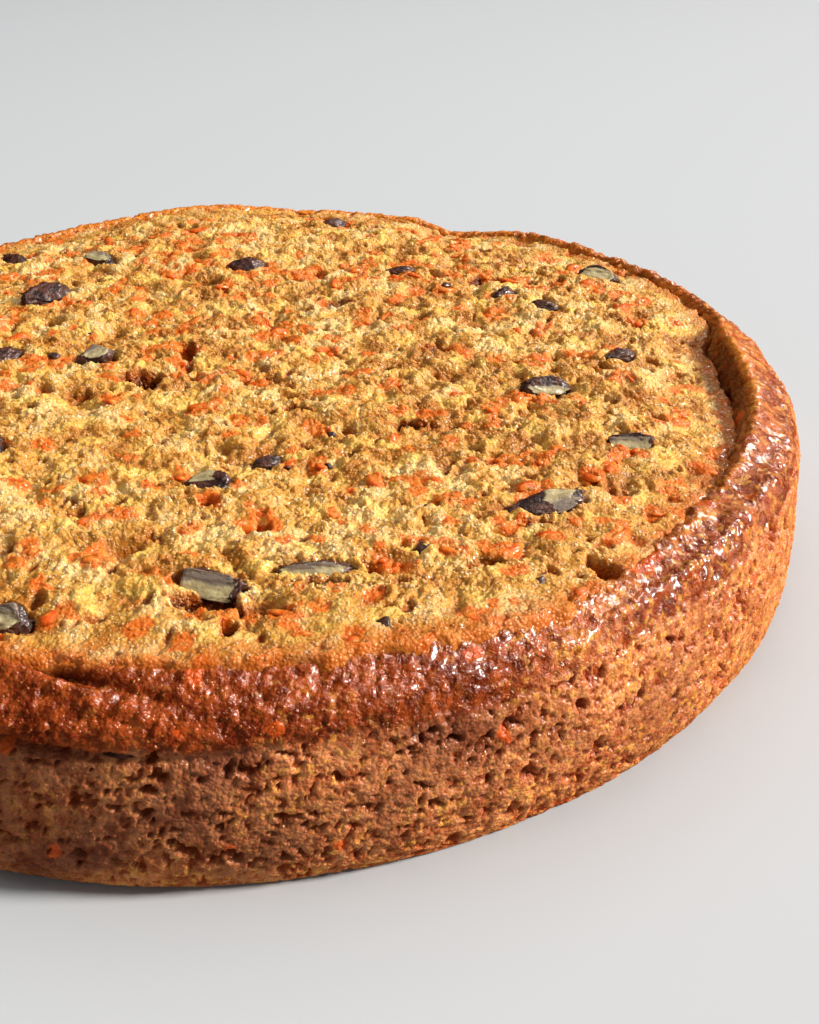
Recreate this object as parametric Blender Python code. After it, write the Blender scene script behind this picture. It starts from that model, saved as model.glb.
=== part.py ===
"""A levelled carrot cake layer: one baked round, cut flat across the top, with walnut pieces in its cut face.

The frame is in metres, +Z up, with the origin at the middle of the base. The cake is one solid: crust and
crumb are the same bake. Each walnut piece is a solid of its own, in a pocket that clears it all round.
"""

import math

import bmesh
import bpy
import numpy as np
from mathutils import Euler, Matrix, Vector, noise

MM = 0.001

# Driving dimensions of the bake.
RADIUS = 114.0 * MM  # at its widest
BASE_RADIUS = 110.5 * MM  # where the side meets the base
HEIGHT = 38.5 * MM  # of the cut face, on average
SEGMENTS = 96  # of the lofted mesh
FACE_RINGS = (0.16, 0.32, 0.47, 0.61, 0.74, 0.85, 0.93)  # of the crumb's radius
EDGE_SLOPE = 24 * MM  # how far in the cut face starts to slope to its height at the rim

# The rim round the cake, in millimetres: azimuth, then radius and height of the crumb's end, of the crust's
# crest and of the shoulder where it turns down into the side. Azimuth 0 is +X, 90 is +Y.
RIM = (
    (-165, 104.4, 37.4, 107.8, 37.2, 111.2, 35.0),
    (-140, 104.2, 37.4, 107.8, 36.6, 111.2, 34.6),
    (-105, 104.0, 37.6, 107.8, 36.4, 111.2, 34.4),
    (-93, 104.3, 38.2, 108.3, 35.8, 111.4, 34.0),
    (-80, 104.6, 38.4, 108.6, 35.5, 111.5, 33.9),
    (-70, 105.5, 38.2, 108.8, 35.3, 111.4, 34.2),
    (-60, 106.4, 37.8, 108.8, 35.4, 111.2, 34.6),
    (-52, 106.2, 37.2, 108.0, 35.6, 110.8, 35.1),
    (-45, 103.2, 36.6, 105.8, 35.9, 110.4, 35.4),
    (-36, 101.4, 36.2, 104.0, 36.0, 110.4, 35.6),
    (-27, 101.0, 35.6, 103.6, 36.8, 110.6, 35.9),
    (-20, 101.2, 35.2, 103.7, 37.9, 110.6, 36.0),
    (-12, 100.2, 34.8, 103.4, 39.1, 110.2, 35.8),
    (-4, 99.0, 34.6, 102.8, 39.5, 109.8, 35.6),
    (3, 98.8, 34.7, 102.7, 39.6, 109.4, 35.8),
    (9, 99.6, 35.0, 103.0, 39.4, 109.0, 36.4),
    (14, 105.4, 36.0, 107.6, 37.0, 110.4, 35.4),
    (20, 106.4, 36.2, 108.4, 36.6, 110.8, 35.0),
    (30, 106.4, 36.8, 108.4, 37.6, 110.8, 35.6),
    (38, 106.4, 36.8, 108.4, 37.2, 110.8, 35.4),
    (46, 106.2, 37.0, 108.2, 38.2, 110.6, 35.8),
    (55, 106.0, 36.4, 108.0, 37.2, 110.6, 35.0),
    (61, 105.4, 34.8, 107.8, 34.6, 110.6, 33.2),
    (65, 105.4, 33.6, 107.8, 33.0, 110.6, 32.0),
    (70, 106.6, 36.0, 108.6, 36.0, 110.8, 34.2),
    (76, 107.0, 36.4, 108.8, 36.2, 110.8, 34.6),
    (88, 107.0, 36.6, 108.8, 36.4, 110.8, 34.6),
    (96, 107.2, 37.8, 108.8, 38.0, 110.8, 36.0),
    (104, 107.2, 38.6, 108.8, 38.8, 110.8, 36.6),
    (112, 107.0, 37.6, 108.8, 37.8, 110.8, 35.8),
    (120, 106.6, 36.4, 108.6, 36.6, 110.8, 35.0),
    (135, 106.0, 36.0, 108.4, 36.0, 110.8, 34.4),
    (152, 105.0, 36.4, 108.0, 37.0, 111.0, 35.0),
    (172, 104.2, 36.8, 107.6, 38.2, 110.8, 35.6),
    (183, 104.2, 37.0, 107.6, 37.6, 111.0, 35.4),
)
RIM_BLUR = 2.2  # degrees over which the rim's measures run into each other
# The side below the shoulder: how far out from the widest radius, and height.
SIDE = ((-0.6, 25), (0.0, 18.5), (-0.1, 12), (-0.8, 6))
# The round of its foot: how far out from the base radius, and height.
FOOT = ((0.9, 2.2), (0.3, 0.5), (-1.2, 0))
# Where the knife left the crumb low or high: (x, y, reach, height).
FACE_SWELLS = (
    (60 * MM, 62 * MM, 26 * MM, -1.0 * MM),
    (-8 * MM, 66 * MM, 34 * MM, 1.0 * MM),
    (-30 * MM, -60 * MM, 30 * MM, 0.6 * MM),
    (-74 * MM, 34 * MM, 22 * MM, -1.1 * MM),
)
# The side bows in and out a little round the cake: (lobes, size, phase).
OUTLINE_LOBES = ((2, 0.55 * MM, 0.6), (3, 0.45 * MM, 2.1), (5, 0.3 * MM, 0.9), (9, 0.2 * MM, 4.0))
# Where the risen crust folded over the side: (azimuth, half width, height of the fold, how far it is out).
FOLDS = ((-122, 26, 28 * MM, 1.5 * MM), (158, 16, 26 * MM, 1.0 * MM), (64, 12, 27 * MM, 0.8 * MM))
FOLD_REACH = 2.6 * MM

# The walnut pieces in the cut face: (x, y, length, width, thickness, turn about Z in degrees, nose-down tilt,
# roll about the length, height of the middle above the face).
FACE_NUTS = (
    (3.2, -84.6, 12.4, 5.4, 3.6, -13, 2, 48, -0.9),
    (19.2, -81.2, 12.6, 4.6, 3.4, 3, -3, 46, -0.8),
    (-1, -54, 9.2, 5.0, 4.0, -5, -6, 20, -0.3),
    (56.4, -60.6, 17.0, 5.2, 4.2, 14, -7, 28, -0.4),
    (61.2, -14.4, 10.6, 5.2, 4.2, 6, 3, 30, -0.2),
    (75.0, -36.6, 8.0, 5.2, 3.6, -8, -4, 42, -0.8),
    (78.2, 2.6, 7.5, 5.0, 4.2, 26, 0, 10, -0.2),
    (80, 53, 11.0, 6.0, 4.6, -16, 3, 20, -0.2),
    (56.5, 40.5, 7.5, 4.5, 4.2, 36, 0, 0, -0.5),
    (65, 31, 7.5, 4.5, 4.0, -24, 5, 3, -0.5),
    (31.5, 53.6, 8.0, 5.0, 4.4, 4, 0, 20, -0.2),
    (-6, 54.8, 9.8, 6.0, 4.8, 8, 6, 20, 0.0),
    (13.5, 93, 7.5, 5.0, 4.5, 20, 0, 0, -0.5),
    (-43.5, 62, 8.5, 5.0, 4.5, -30, 0, 0, -0.5),
    (-51.4, 36.6, 13.0, 9.0, 6.4, 42, 6, 24, 0.4),
    (-32, 0.6, 8.4, 6.0, 4.8, 24, -10, 20, 0.0),
    (-51, 1, 9.0, 6.5, 5.0, 66, 0, 0, -0.4),
    (-43, -40, 9.0, 6.5, 5.0, -50, 5, 3, -0.4),
    (-26, -93, 10.0, 6.0, 5.0, -30, 0, 20, -0.4),
    (8.7, -46.4, 5.2, 3.8, 3.6, 20, 0, 20, -0.2),
    (-82, -14, 10.5, 6.0, 5.0, 74, -5, -3, -0.6),
    (-64, -60, 12.0, 6.0, 5.0, 128, 6, 4, -0.6),
    (-84, 26, 9.0, 6.5, 5.0, 20, 0, 0, -0.6),
    (-66, 66, 10.5, 5.5, 5.0, -48, 5, 3, -0.6),
)
SIDE_NUT = (-93.5, 28.0 * MM, 9.5 * MM, 5.0 * MM, 4.5 * MM)  # azimuth, height, length, width, thickness
POCKET_GAP = 0.35 * MM

# Air pockets that the knife opened: (x, y, length, width, depth, turn).
HOLES = (
    (-20.5, -9.0, 11.0, 8.0, 5.5, 20),
    (-13.5, 4.5, 6.5, 7.0, 5.0, 0),
    (65.5, -79.5, 10.0, 5.0, 7.5, -50),
    (3.6, -89.6, 12.5, 6.0, 4.6, -12),
)

CRUMB = (0.80, 0.52, 0.20, 0.75)
NUT = (0.20, 0.13, 0.08, 0.45)


def swell(distance, reach):
    """1 at distance 0, fading to 0 past reach."""
    return math.exp(-((distance / reach) ** 2))


def turned_apart(first, second):
    """The angle between two azimuths in degrees, 0 to 180."""
    return abs((first - second + 180) % 360 - 180)


def along_rim(column):
    """A column of the rim's measures as a smooth function of azimuth in degrees."""
    rows = sorted(((row[0] + 180) % 360 - 180, row[column]) for row in RIM)
    turns = np.array([row[0] for row in rows], float)
    turns = np.concatenate([turns - 360, turns, turns + 360])
    fine = np.arange(-360, 361, 1.0)
    level = np.interp(fine, turns, np.tile([row[1] for row in rows], 3))
    blur = np.exp(-((np.arange(-6, 7) / RIM_BLUR) ** 2))
    level = np.convolve(level, blur / blur.sum(), "same")
    return lambda azimuth: float(np.interp((azimuth + 180) % 360 - 180, fine, level)) * MM


EDGE_RADIUS, EDGE_HEIGHT, CREST_RADIUS, CREST_HEIGHT = map(along_rim, range(1, 5))
SHOULDER_RADIUS, SHOULDER_HEIGHT = map(along_rim, (5, 6))


def face_height(x, y):
    """The height of the cut face, with the knife's swells and its slope to the rim."""
    height = HEIGHT
    for px, py, reach, size in FACE_SWELLS:
        height += size * swell(math.hypot(x - px, y - py), reach)
    azimuth = math.degrees(math.atan2(y, x))
    near = 1 + (math.hypot(x, y) - EDGE_RADIUS(azimuth)) / EDGE_SLOPE
    near = max(0.0, min(1.0, near))
    near = near * near * (3 - 2 * near)
    return height * (1 - near) + EDGE_HEIGHT(azimuth) * near


def outline(azimuth):
    """How far the side stands out from a true round, at an azimuth in degrees."""
    return sum(size * math.sin(lobes * math.radians(azimuth) + phase) for lobes, size, phase in OUTLINE_LOBES)


def fold(azimuth, height):
    """How far the folded crust stands out over the side, and the side draws in under it."""
    reach = 0.0
    for at, width, crease, size in FOLDS:
        lift = height - crease
        over = swell(lift - FOLD_REACH, FOLD_REACH) - swell(lift + FOLD_REACH, FOLD_REACH)
        reach += size * over * swell(turned_apart(azimuth, at), width)
    return reach


def section(azimuth):
    """The cake's (radius, height) points at an azimuth: the face, the rim, the side and the base."""
    edge, crest, out = EDGE_RADIUS(azimuth), CREST_RADIUS(azimuth), SHOULDER_RADIUS(azimuth)
    top, shoulder = CREST_HEIGHT(azimuth), SHOULDER_HEIGHT(azimuth)
    cos, sin = math.cos(math.radians(azimuth)), math.sin(math.radians(azimuth))
    points = []
    for share in FACE_RINGS:
        radius = edge * share
        points.append((radius, face_height(radius * cos, radius * sin)))
    points += [(edge, EDGE_HEIGHT(azimuth)), (crest - 0.7 * MM, top), (crest + 0.8 * MM, top - 0.1 * MM)]
    points += [((crest + out) / 2, (top + shoulder) / 2 + 0.3 * MM), (out, shoulder)]
    points.append((out * 0.4 + RADIUS * 0.6, shoulder - 3.2 * MM))
    points += [(RADIUS + reach * MM, height * MM) for reach, height in SIDE]
    points += [(BASE_RADIUS + reach * MM, height * MM) for reach, height in FOOT]
    points.append((BASE_RADIUS * 0.6, 0.0))
    return points


def finished(name, mesh, colour, collection):
    """An object of the mesh, with a material of its own colour and roughness."""
    obj = bpy.data.objects.new(name, mesh)
    collection.objects.link(obj)
    material = bpy.data.materials.new(name)
    material.use_nodes = True
    shader = material.node_tree.nodes["Principled BSDF"]
    shader.inputs["Base Color"].default_value = (*colour[:3], 1)
    shader.inputs["Roughness"].default_value = colour[3]
    shader.inputs["Metallic"].default_value = 0
    obj.data.materials.clear()
    obj.data.materials.append(material)
    return obj


def lofted_cake(collection):
    """The bake: a section at every azimuth, joined to the next one all the way round."""
    build = bmesh.new()
    rings = []
    for step in range(SEGMENTS):
        azimuth = step * 360 / SEGMENTS - 180
        turn = math.radians(azimuth)
        ring = []
        for radius, height in section(azimuth):
            reach = radius + (outline(azimuth) + fold(azimuth, height)) * (radius / RADIUS) ** 4
            ring.append(build.verts.new((reach * math.cos(turn), reach * math.sin(turn), height)))
        rings.append(ring)
    middle, foot = build.verts.new((0, 0, face_height(0, 0))), build.verts.new((0, 0, 0))
    for ring, following in zip(rings, rings[1:] + rings[:1]):
        build.faces.new((middle, ring[0], following[0]))
        for i in range(len(ring) - 1):
            build.faces.new((ring[i], ring[i + 1], following[i + 1], following[i]))
        build.faces.new((ring[-1], foot, following[-1]))
    mesh = bpy.data.meshes.new("cake")
    build.to_mesh(mesh)
    build.free()
    cake = finished("cake", mesh, CRUMB, collection)
    mesh.shade_smooth()
    return cake


def nut_form(unit, seed):
    """Where a point of the unit sphere lies on a broken nut: lumpy, with a cleft and two flat breaks."""
    lumps = 1 + 0.22 * noise.noise(unit * 1.3 + Vector((seed, 0, 0)))
    lumps += 0.1 * noise.noise(unit * 3.1 + Vector((0, seed, 0)))
    point = unit * lumps
    point.z -= 0.22 * math.exp(-((point.y / 0.35) ** 2)) * max(0.0, unit.z)
    for i, depth in enumerate((0.62, 0.74)):
        turn = seed * 1.7 + i * 2.3
        normal = Vector((0.35 * math.cos(turn), math.sin(turn), 0.75 if i == 0 else -0.2)).normalized()
        past = point.dot(normal) - depth
        if past > 0:
            point -= normal * past * 0.9
    return point


def nut_mesh(name, size, place, seed, grow=0.0):
    """A nut of (length, width, thickness), put where the matrix says and grown by grow on every side."""
    mesh = bpy.data.meshes.new(name)
    build = bmesh.new()
    bmesh.ops.create_icosphere(build, subdivisions=2, radius=1)
    half = Vector(size) / 2
    for vertex in build.verts:
        form = nut_form(vertex.co.normalized(), seed)
        vertex.co = Vector((form.x * half.x, form.y * half.y, form.z * half.z))
    build.normal_update()
    if grow:
        moved = [vertex.co + vertex.normal * grow * 1.15 for vertex in build.verts]
        for vertex, co in zip(build.verts, moved):
            vertex.co = co
    build.to_mesh(mesh)
    build.free()
    mesh.transform(place)
    return mesh


def nut_places():
    """Each nut's (size, matrix), those of the face first."""
    found = []
    for x, y, length, width, thickness, turn, tilt, roll, lift in FACE_NUTS:
        x, y = x * MM, y * MM
        size = (length * MM, width * MM, thickness * MM)
        height = face_height(x, y) + lift * MM
        spin = Euler((math.radians(roll), math.radians(tilt), math.radians(turn))).to_matrix().to_4x4()
        found.append((size, Matrix.Translation((x, y, height)) @ spin))
    azimuth, height, length, width, thickness = SIDE_NUT
    turn = math.radians(azimuth)
    out = Vector((math.cos(turn), math.sin(turn), 0)) * (RADIUS - 3.4 * MM)
    spin = Euler((0, 0, turn + math.pi / 2)).to_matrix().to_4x4()
    found.append(((length, thickness, width), Matrix.Translation(out + Vector((0, 0, height))) @ spin))
    return found


def hole_mesh(name, x, y, length, width, depth, turn):
    """The cutter of an opened air pocket, centred a little under the face."""
    x, y = x * MM, y * MM
    mesh = bpy.data.meshes.new(name)
    build = bmesh.new()
    bmesh.ops.create_icosphere(build, subdivisions=2, radius=1)
    half = Vector((length, width, depth * 1.3)) / 2 * MM
    for vertex in build.verts:
        bumpy = 1 + 0.3 * noise.noise(vertex.co * 1.7 + Vector((x, y, turn)))
        vertex.co = Vector((vertex.co.x * half.x, vertex.co.y * half.y, vertex.co.z * half.z)) * bumpy
    build.to_mesh(mesh)
    build.free()
    height = face_height(x, y) - depth * MM * 0.35
    mesh.transform(Matrix.Translation((x, y, height)) @ Matrix.Rotation(math.radians(turn), 4, "Z"))
    return mesh


def cutter(name, mesh, collection):
    """A closed mesh that only cuts, and isn't a node."""
    obj = bpy.data.objects.new(name, mesh)
    collection.objects.link(obj)
    obj.hide_render = True
    obj.display_type = "WIRE"
    return obj


def centre_on_base(cake, others):
    """Moves everything so that the origin is at the middle of the cake's own outline."""
    xs = [vertex.co.x for vertex in cake.data.vertices]
    ys = [vertex.co.y for vertex in cake.data.vertices]
    shift = Matrix.Translation((-(min(xs) + max(xs)) / 2, -(min(ys) + max(ys)) / 2, 0))
    for obj in (cake, *others):
        obj.data.transform(shift)


def main():
    for obj in list(bpy.data.objects):
        bpy.data.objects.remove(obj)
    parts = bpy.data.collections.new("carrot_cake")
    cutters = bpy.data.collections.new("cutters")
    for collection in (parts, cutters):
        bpy.context.scene.collection.children.link(collection)

    cake = lofted_cake(parts)
    made = []
    for i, (size, place) in enumerate(nut_places(), 1):
        seed = i * 0.77
        name = f"walnut_{i:02d}"
        made.append(finished(name, nut_mesh(name, size, place, seed), NUT, parts))
        pocket = nut_mesh(f"pocket_{i:02d}", size, place, seed, grow=POCKET_GAP)
        made.append(cutter(pocket.name, pocket, cutters))
    for i, hole in enumerate(HOLES, 1):
        made.append(cutter(f"hole_{i}", hole_mesh(f"hole_{i}", *hole), cutters))
    centre_on_base(cake, made)

    cut = cake.modifiers.new("pockets", "BOOLEAN")
    cut.operation = "DIFFERENCE"
    cut.solver = "EXACT"
    cut.operand_type = "COLLECTION"
    cut.collection = cutters


main()
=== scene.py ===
"""A levelled carrot cake layer: granular crumb, walnut pieces and carrot shreds, in a glossy porous crust."""

import itertools
import math

import bmesh
import bpy
import numpy as np
from mathutils import Euler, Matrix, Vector


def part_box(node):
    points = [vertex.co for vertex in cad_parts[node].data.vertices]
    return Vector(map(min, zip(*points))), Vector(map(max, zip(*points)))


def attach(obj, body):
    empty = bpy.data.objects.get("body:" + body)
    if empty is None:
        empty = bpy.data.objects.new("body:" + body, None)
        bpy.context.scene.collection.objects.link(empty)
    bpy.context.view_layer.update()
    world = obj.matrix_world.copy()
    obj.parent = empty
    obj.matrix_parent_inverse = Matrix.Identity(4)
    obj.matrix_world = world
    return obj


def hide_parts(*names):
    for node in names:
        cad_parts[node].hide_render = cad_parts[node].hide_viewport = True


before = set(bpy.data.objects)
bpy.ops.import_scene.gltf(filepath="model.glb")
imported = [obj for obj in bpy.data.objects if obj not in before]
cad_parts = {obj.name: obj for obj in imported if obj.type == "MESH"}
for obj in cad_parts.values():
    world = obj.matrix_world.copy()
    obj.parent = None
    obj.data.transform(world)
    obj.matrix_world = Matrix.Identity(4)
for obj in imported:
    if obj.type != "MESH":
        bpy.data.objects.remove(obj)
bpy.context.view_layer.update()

LOW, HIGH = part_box("cake")
MM = (HIGH.x - LOW.x) / 228.6  # a millimetre of this cake, so that everything follows the size of the bake
SEED = 7

# --------------------------------------------------------------------------------------------------
# Form of the bake, in millimetres and degrees. Azimuth 0 is +X and 90 is +Y.

RADIUS = 114.0
BASE_RADIUS = 110.5
TOP = 38.5  # the cut face, on average
OUTLINE_LOBES = ((2, 0.55, 0.6), (3, 0.45, 2.1), (5, 0.3, 0.9), (9, 0.2, 4.0))
FACE_SWELLS = (
    (60, 62, 26, -1.0),
    (-8, 66, 34, 1.0),
    (-30, -60, 30, 0.6),
    (-74, 34, 22, -1.1),
)
# The crust's rim round the cake: azimuth, then radius and height of the crumb's end, of the crust's
# crest, and of the shoulder where it turns down into the side.
RIM = (
    (-165, 104.4, 37.4, 107.8, 37.2, 111.2, 35.0),
    (-140, 104.2, 37.4, 107.8, 36.6, 111.2, 34.6),
    (-105, 104.0, 37.6, 107.8, 36.4, 111.2, 34.4),
    (-93, 104.3, 38.2, 108.3, 35.8, 111.4, 34.0),
    (-80, 104.6, 38.4, 108.6, 35.5, 111.5, 33.9),
    (-70, 105.5, 38.2, 108.8, 35.3, 111.4, 34.2),
    (-60, 106.4, 37.8, 108.8, 35.4, 111.2, 34.6),
    (-52, 106.2, 37.2, 108.0, 35.6, 110.8, 35.1),
    (-45, 103.2, 36.6, 105.8, 35.9, 110.4, 35.4),
    (-36, 101.4, 36.2, 104.0, 36.0, 110.4, 35.6),
    (-27, 101.0, 35.6, 103.6, 36.8, 110.6, 35.9),
    (-20, 101.2, 35.2, 103.7, 37.9, 110.6, 36.0),
    (-12, 100.2, 34.8, 103.4, 39.1, 110.2, 35.8),
    (-4, 99.0, 34.6, 102.8, 39.5, 109.8, 35.6),
    (3, 98.8, 34.7, 102.7, 39.6, 109.4, 35.8),
    (9, 99.6, 35.0, 103.0, 39.4, 109.0, 36.4),
    (14, 105.4, 36.0, 107.6, 37.0, 110.4, 35.4),
    (20, 106.4, 36.2, 108.4, 36.6, 110.8, 35.0),
    (30, 106.4, 36.8, 108.4, 37.6, 110.8, 35.6),
    (38, 106.4, 36.8, 108.4, 37.2, 110.8, 35.4),
    (46, 106.2, 37.0, 108.2, 38.2, 110.6, 35.8),
    (55, 106.0, 36.4, 108.0, 37.2, 110.6, 35.0),
    (61, 105.4, 34.8, 107.8, 34.6, 110.6, 33.2),
    (65, 105.4, 33.6, 107.8, 33.0, 110.6, 32.0),
    (70, 106.6, 36.0, 108.6, 36.0, 110.8, 34.2),
    (76, 107.0, 36.4, 108.8, 36.2, 110.8, 34.6),
    (88, 107.0, 36.6, 108.8, 36.4, 110.8, 34.6),
    (96, 107.2, 37.8, 108.8, 38.0, 110.8, 36.0),
    (104, 107.2, 38.6, 108.8, 38.8, 110.8, 36.6),
    (112, 107.0, 37.6, 108.8, 37.8, 110.8, 35.8),
    (120, 106.6, 36.4, 108.6, 36.6, 110.8, 35.0),
    (135, 106.0, 36.0, 108.4, 36.0, 110.8, 34.4),
    (152, 105.0, 36.4, 108.0, 37.0, 111.0, 35.0),
    (172, 104.2, 36.8, 107.6, 38.2, 110.8, 35.6),
    (183, 104.2, 37.0, 107.6, 37.6, 111.0, 35.4),
)
# Where the risen crust folded over the side: azimuth, half width, height of the fold, how far it stands out.
FOLDS = ((-120, 26, 29.4, 2.3), (158, 16, 26, 1.0), (64, 12, 27, 0.8))
# Air pockets that the knife opened: x, y, length, width, depth, turn.
HOLES = (
    (-20.5, -9, 11, 8.0, 6.0, 20),
    (-13.5, 3.5, 5, 7.0, 5.0, 0),
    (-12.5, -7.0, 4.5, 3.5, 4.0, 10),
    (65.5, -79.5, 10, 5.0, 10.5, -50),
    (0.4, -61.0, 5, 3.0, 3.5, 0),
    (3.6, -89.6, 12.5, 6.0, 4.8, -12),
    (12.1, -92.2, 9, 3.0, 4.2, -8),
    (7.6, -97.2, 5, 2.6, 4.0, 80),
    (19.5, -84.9, 11, 2.0, 3.6, 3),
    (54.0, -66.5, 9, 2.4, 3.0, 18),
    (33.0, -31.0, 8, 4.5, 3.5, 15),
    (12.0, -24.0, 7, 4.0, 3.0, -20),
    (9.0, -69.0, 4, 5.0, 4.0, 80),
    (46.0, -79.0, 7, 2.6, 3.5, 10),
    (40.0, 6.0, 7, 4.0, 2.6, -30),
    (17.0, 32.0, 9, 4.5, 2.4, 10),
    (52.0, 50.0, 9, 5.0, 2.6, 30),
    (-60.0, -30.0, 8, 5.0, 3.0, -30),
    (-76.0, 8.0, 7, 5.0, 3.2, 40),
)
# Shreds that show bright orange in the rim: x, y, reach.
SKIN_SHREDS = (
    (70.5, -77.0, 3.4),
    (73.0, -73.5, 2.6),
    (84.5, -57.0, 2.4),
    (87.5, -41.0, 2.2),
    (98.0, -22.0, 2.0),
    (93.6, -54.5, 1.8),
)
# Where the side stands out or is drawn in: azimuth, half width, height, half height, how far.
SIDE_SWELLS = (
    (-16, 16, 22, 14, -0.6),
    (-60, 10, 3, 6, -0.6),
    (-88, 18, 0, 7, 0.4),
    (-30, 14, 5, 6, 0.5),
)
# Grooves in the crust's rim: azimuth, half width, radius, how it drifts outward by the degree, depth.
GROOVES = ((-101, 9, 105.2, 0.45, 2.4), (-150, 20, 105.0, 0, 1.0))
# Small dark bits of walnut: x, y, length, width.
CHIPS = (
    (35.8, -75.1, 4.6, 3.6),
    (54.1, -83.1, 4.2, 2.6),
    (30.1, -95.1, 3.0, 2.4),
    (-40.7, 0.9, 3.6, 2.6),
    (42.5, 45.5, 4.5, 3.0),
)
LOOSE_CHIPS = 6  # and so many more, smaller, at random
SHRED_COUNT = 620  # clusters of shreds are added until there are so many
SHRED_FIELD = 107  # they lie within this radius

GRID = 0.38  # spacing of the modelled crumb
SKIN_GRID = 0.42  # and of the crust
FACE_REACH = 108.9  # how far out the crumb runs, under the crust at its end
CRUMB_SEAMS = (62, 88)  # the radii at which the crumb's face is parted into pieces
CRUMB_FLOOR = 24  # the height of the crumb pieces' undersides
DEEPEST = 25  # no pocket reaches lower
SKIN_SEAMS = (30.2, 14.0)  # the heights at which the crust is parted into pieces
LAP = 4  # rows of corners by which a crumb piece runs on under the next one
SKIN_LAP = 5  # and by which a crust piece does
# Above these heights lie the crust's rim, its inner wall and its crest.
RIM_FOOT, WALL_FOOT, CREST_FOOT = 30, 31, 33


def along_rim(column):
    """A rim measure as a smooth function of azimuth in degrees."""
    rows = sorted(((row[0] + 180) % 360 - 180, row[column]) for row in RIM)
    turns = np.array([row[0] for row in rows])
    values = np.array([row[1] for row in rows], float)
    turns = np.concatenate([turns - 360, turns, turns + 360])
    values = np.tile(values, 3)
    fine = np.arange(-360, 361, 1.0)
    level = np.interp(fine, turns, values)
    blur = np.exp(-((np.arange(-6, 7) / 2.2) ** 2))
    level = np.convolve(level, blur / blur.sum(), "same")
    return lambda azimuth: np.interp(azimuth, fine, level)


EDGE_RADIUS, EDGE_HEIGHT = along_rim(1), along_rim(2)
CREST_RADIUS, CREST_HEIGHT = along_rim(3), along_rim(4)
SHOULDER_RADIUS, SHOULDER_HEIGHT = along_rim(5), along_rim(6)


def outline(azimuth):
    """How far the side stands out from a true round."""
    return sum(size * np.sin(lobes * np.radians(azimuth) + phase) for lobes, size, phase in OUTLINE_LOBES)


def middle_of_outline():
    """The turned bake's middle, which the frame's origin isn't quite, because the outline is uneven."""
    turn = np.arange(0, 360, 0.5)
    reach = RADIUS + outline(turn)
    x, y = reach * np.cos(np.radians(turn)), reach * np.sin(np.radians(turn))
    return np.array([(x.min() + x.max()) / 2, (y.min() + y.max()) / 2])


MIDDLE = middle_of_outline()


def smooth(low, high, value):
    """0 below low and 1 above high, with a soft turn at both."""
    share = np.clip((value - low) / (high - low), 0, 1)
    return share * share * (3 - 2 * share)


def patches(field, share, soft):
    """0 to 1 where a field is highest, over a share of its places."""
    low = np.quantile(field, 1 - share)
    return smooth(low, low + soft, field)


def near_azimuth(azimuth, at, half_width):
    """1 at an azimuth, falling off softly to both sides."""
    apart = np.abs((azimuth - at + 180) % 360 - 180)
    return np.exp(-((apart / half_width) ** 2))


def polar(x, y):
    """Radius and azimuth in degrees."""
    return np.hypot(x, y), np.degrees(np.arctan2(y, x))


# --------------------------------------------------------------------------------------------------
# Unevenness: smooth noise and rounded cells, both worked out for whole arrays of points.


def scramble(cells, seed):
    """A repeatable whole number for each whole-numbered cell, mixed from it by large primes."""
    mixed = cells[..., 0] * 73856093 ^ cells[..., 1] * 19349663 ^ cells[..., 2] * 83492791
    mixed = mixed ^ (seed + 11) * 2654435761
    mixed = (mixed ^ (mixed >> 15)) * 2246822519 & 0xFFFFFFFF
    mixed = (mixed ^ (mixed >> 13)) * 3266489917 & 0xFFFFFFFF
    return mixed ^ (mixed >> 16)


def chance(cells, seed):
    """A repeatable number, 0 to 1, for each cell."""
    return (scramble(cells, seed) & 0xFFFFFF) / 0xFFFFFF


SLOPES = np.random.default_rng(SEED).normal(size=(64, 3))
SLOPES /= np.linalg.norm(SLOPES, axis=1)[:, None]


def wave(points, size, seed):
    """Smooth noise, about -1 to 1, whose lumps are the given size across."""
    scaled = points / size
    base = np.floor(scaled).astype(np.int64)
    inside = scaled - base
    ease = inside**3 * (inside * (inside * 6 - 15) + 10)
    total = np.zeros(len(points))
    for corner in itertools.product((0, 1), repeat=3):
        corner = np.array(corner)
        slope = SLOPES[scramble(base + corner, seed) & 63]
        weight = np.prod(np.where(corner == 1, ease, 1 - ease), axis=1)
        total += weight * ((inside - corner) * slope).sum(axis=1)
    return total * 1.6


def cells(points, size, seed):
    """Rounded cells: each point's distance to the nearest seed and to the next, and the nearest one's number.

    Distances are shares of the cell size.
    """
    scaled = points / size
    base = np.floor(scaled).astype(np.int64)
    nearest = np.full(len(points), 9.0)
    second = np.full(len(points), 9.0)
    number = np.zeros(len(points))
    for corner in itertools.product((-1, 0, 1), repeat=3):
        cell = base + np.array(corner)
        spot = np.stack([chance(cell, seed + axis) for axis in range(3)], axis=1)
        away = np.linalg.norm(cell + spot - scaled, axis=1)
        closer = away < nearest
        second = np.where(closer, nearest, np.minimum(second, away))
        number = np.where(closer, chance(cell, seed + 3), number)
        nearest = np.minimum(nearest, away)
    return nearest, second, number


def stirred(points, size, reach, seed):
    """The points pushed about by smooth noise, so that what is worked out from them is irregular."""
    push = np.stack([wave(points, size, seed + axis) for axis in range(3)], axis=1)
    return points + push * reach


# --------------------------------------------------------------------------------------------------
# Meshes from arrays.


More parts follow.
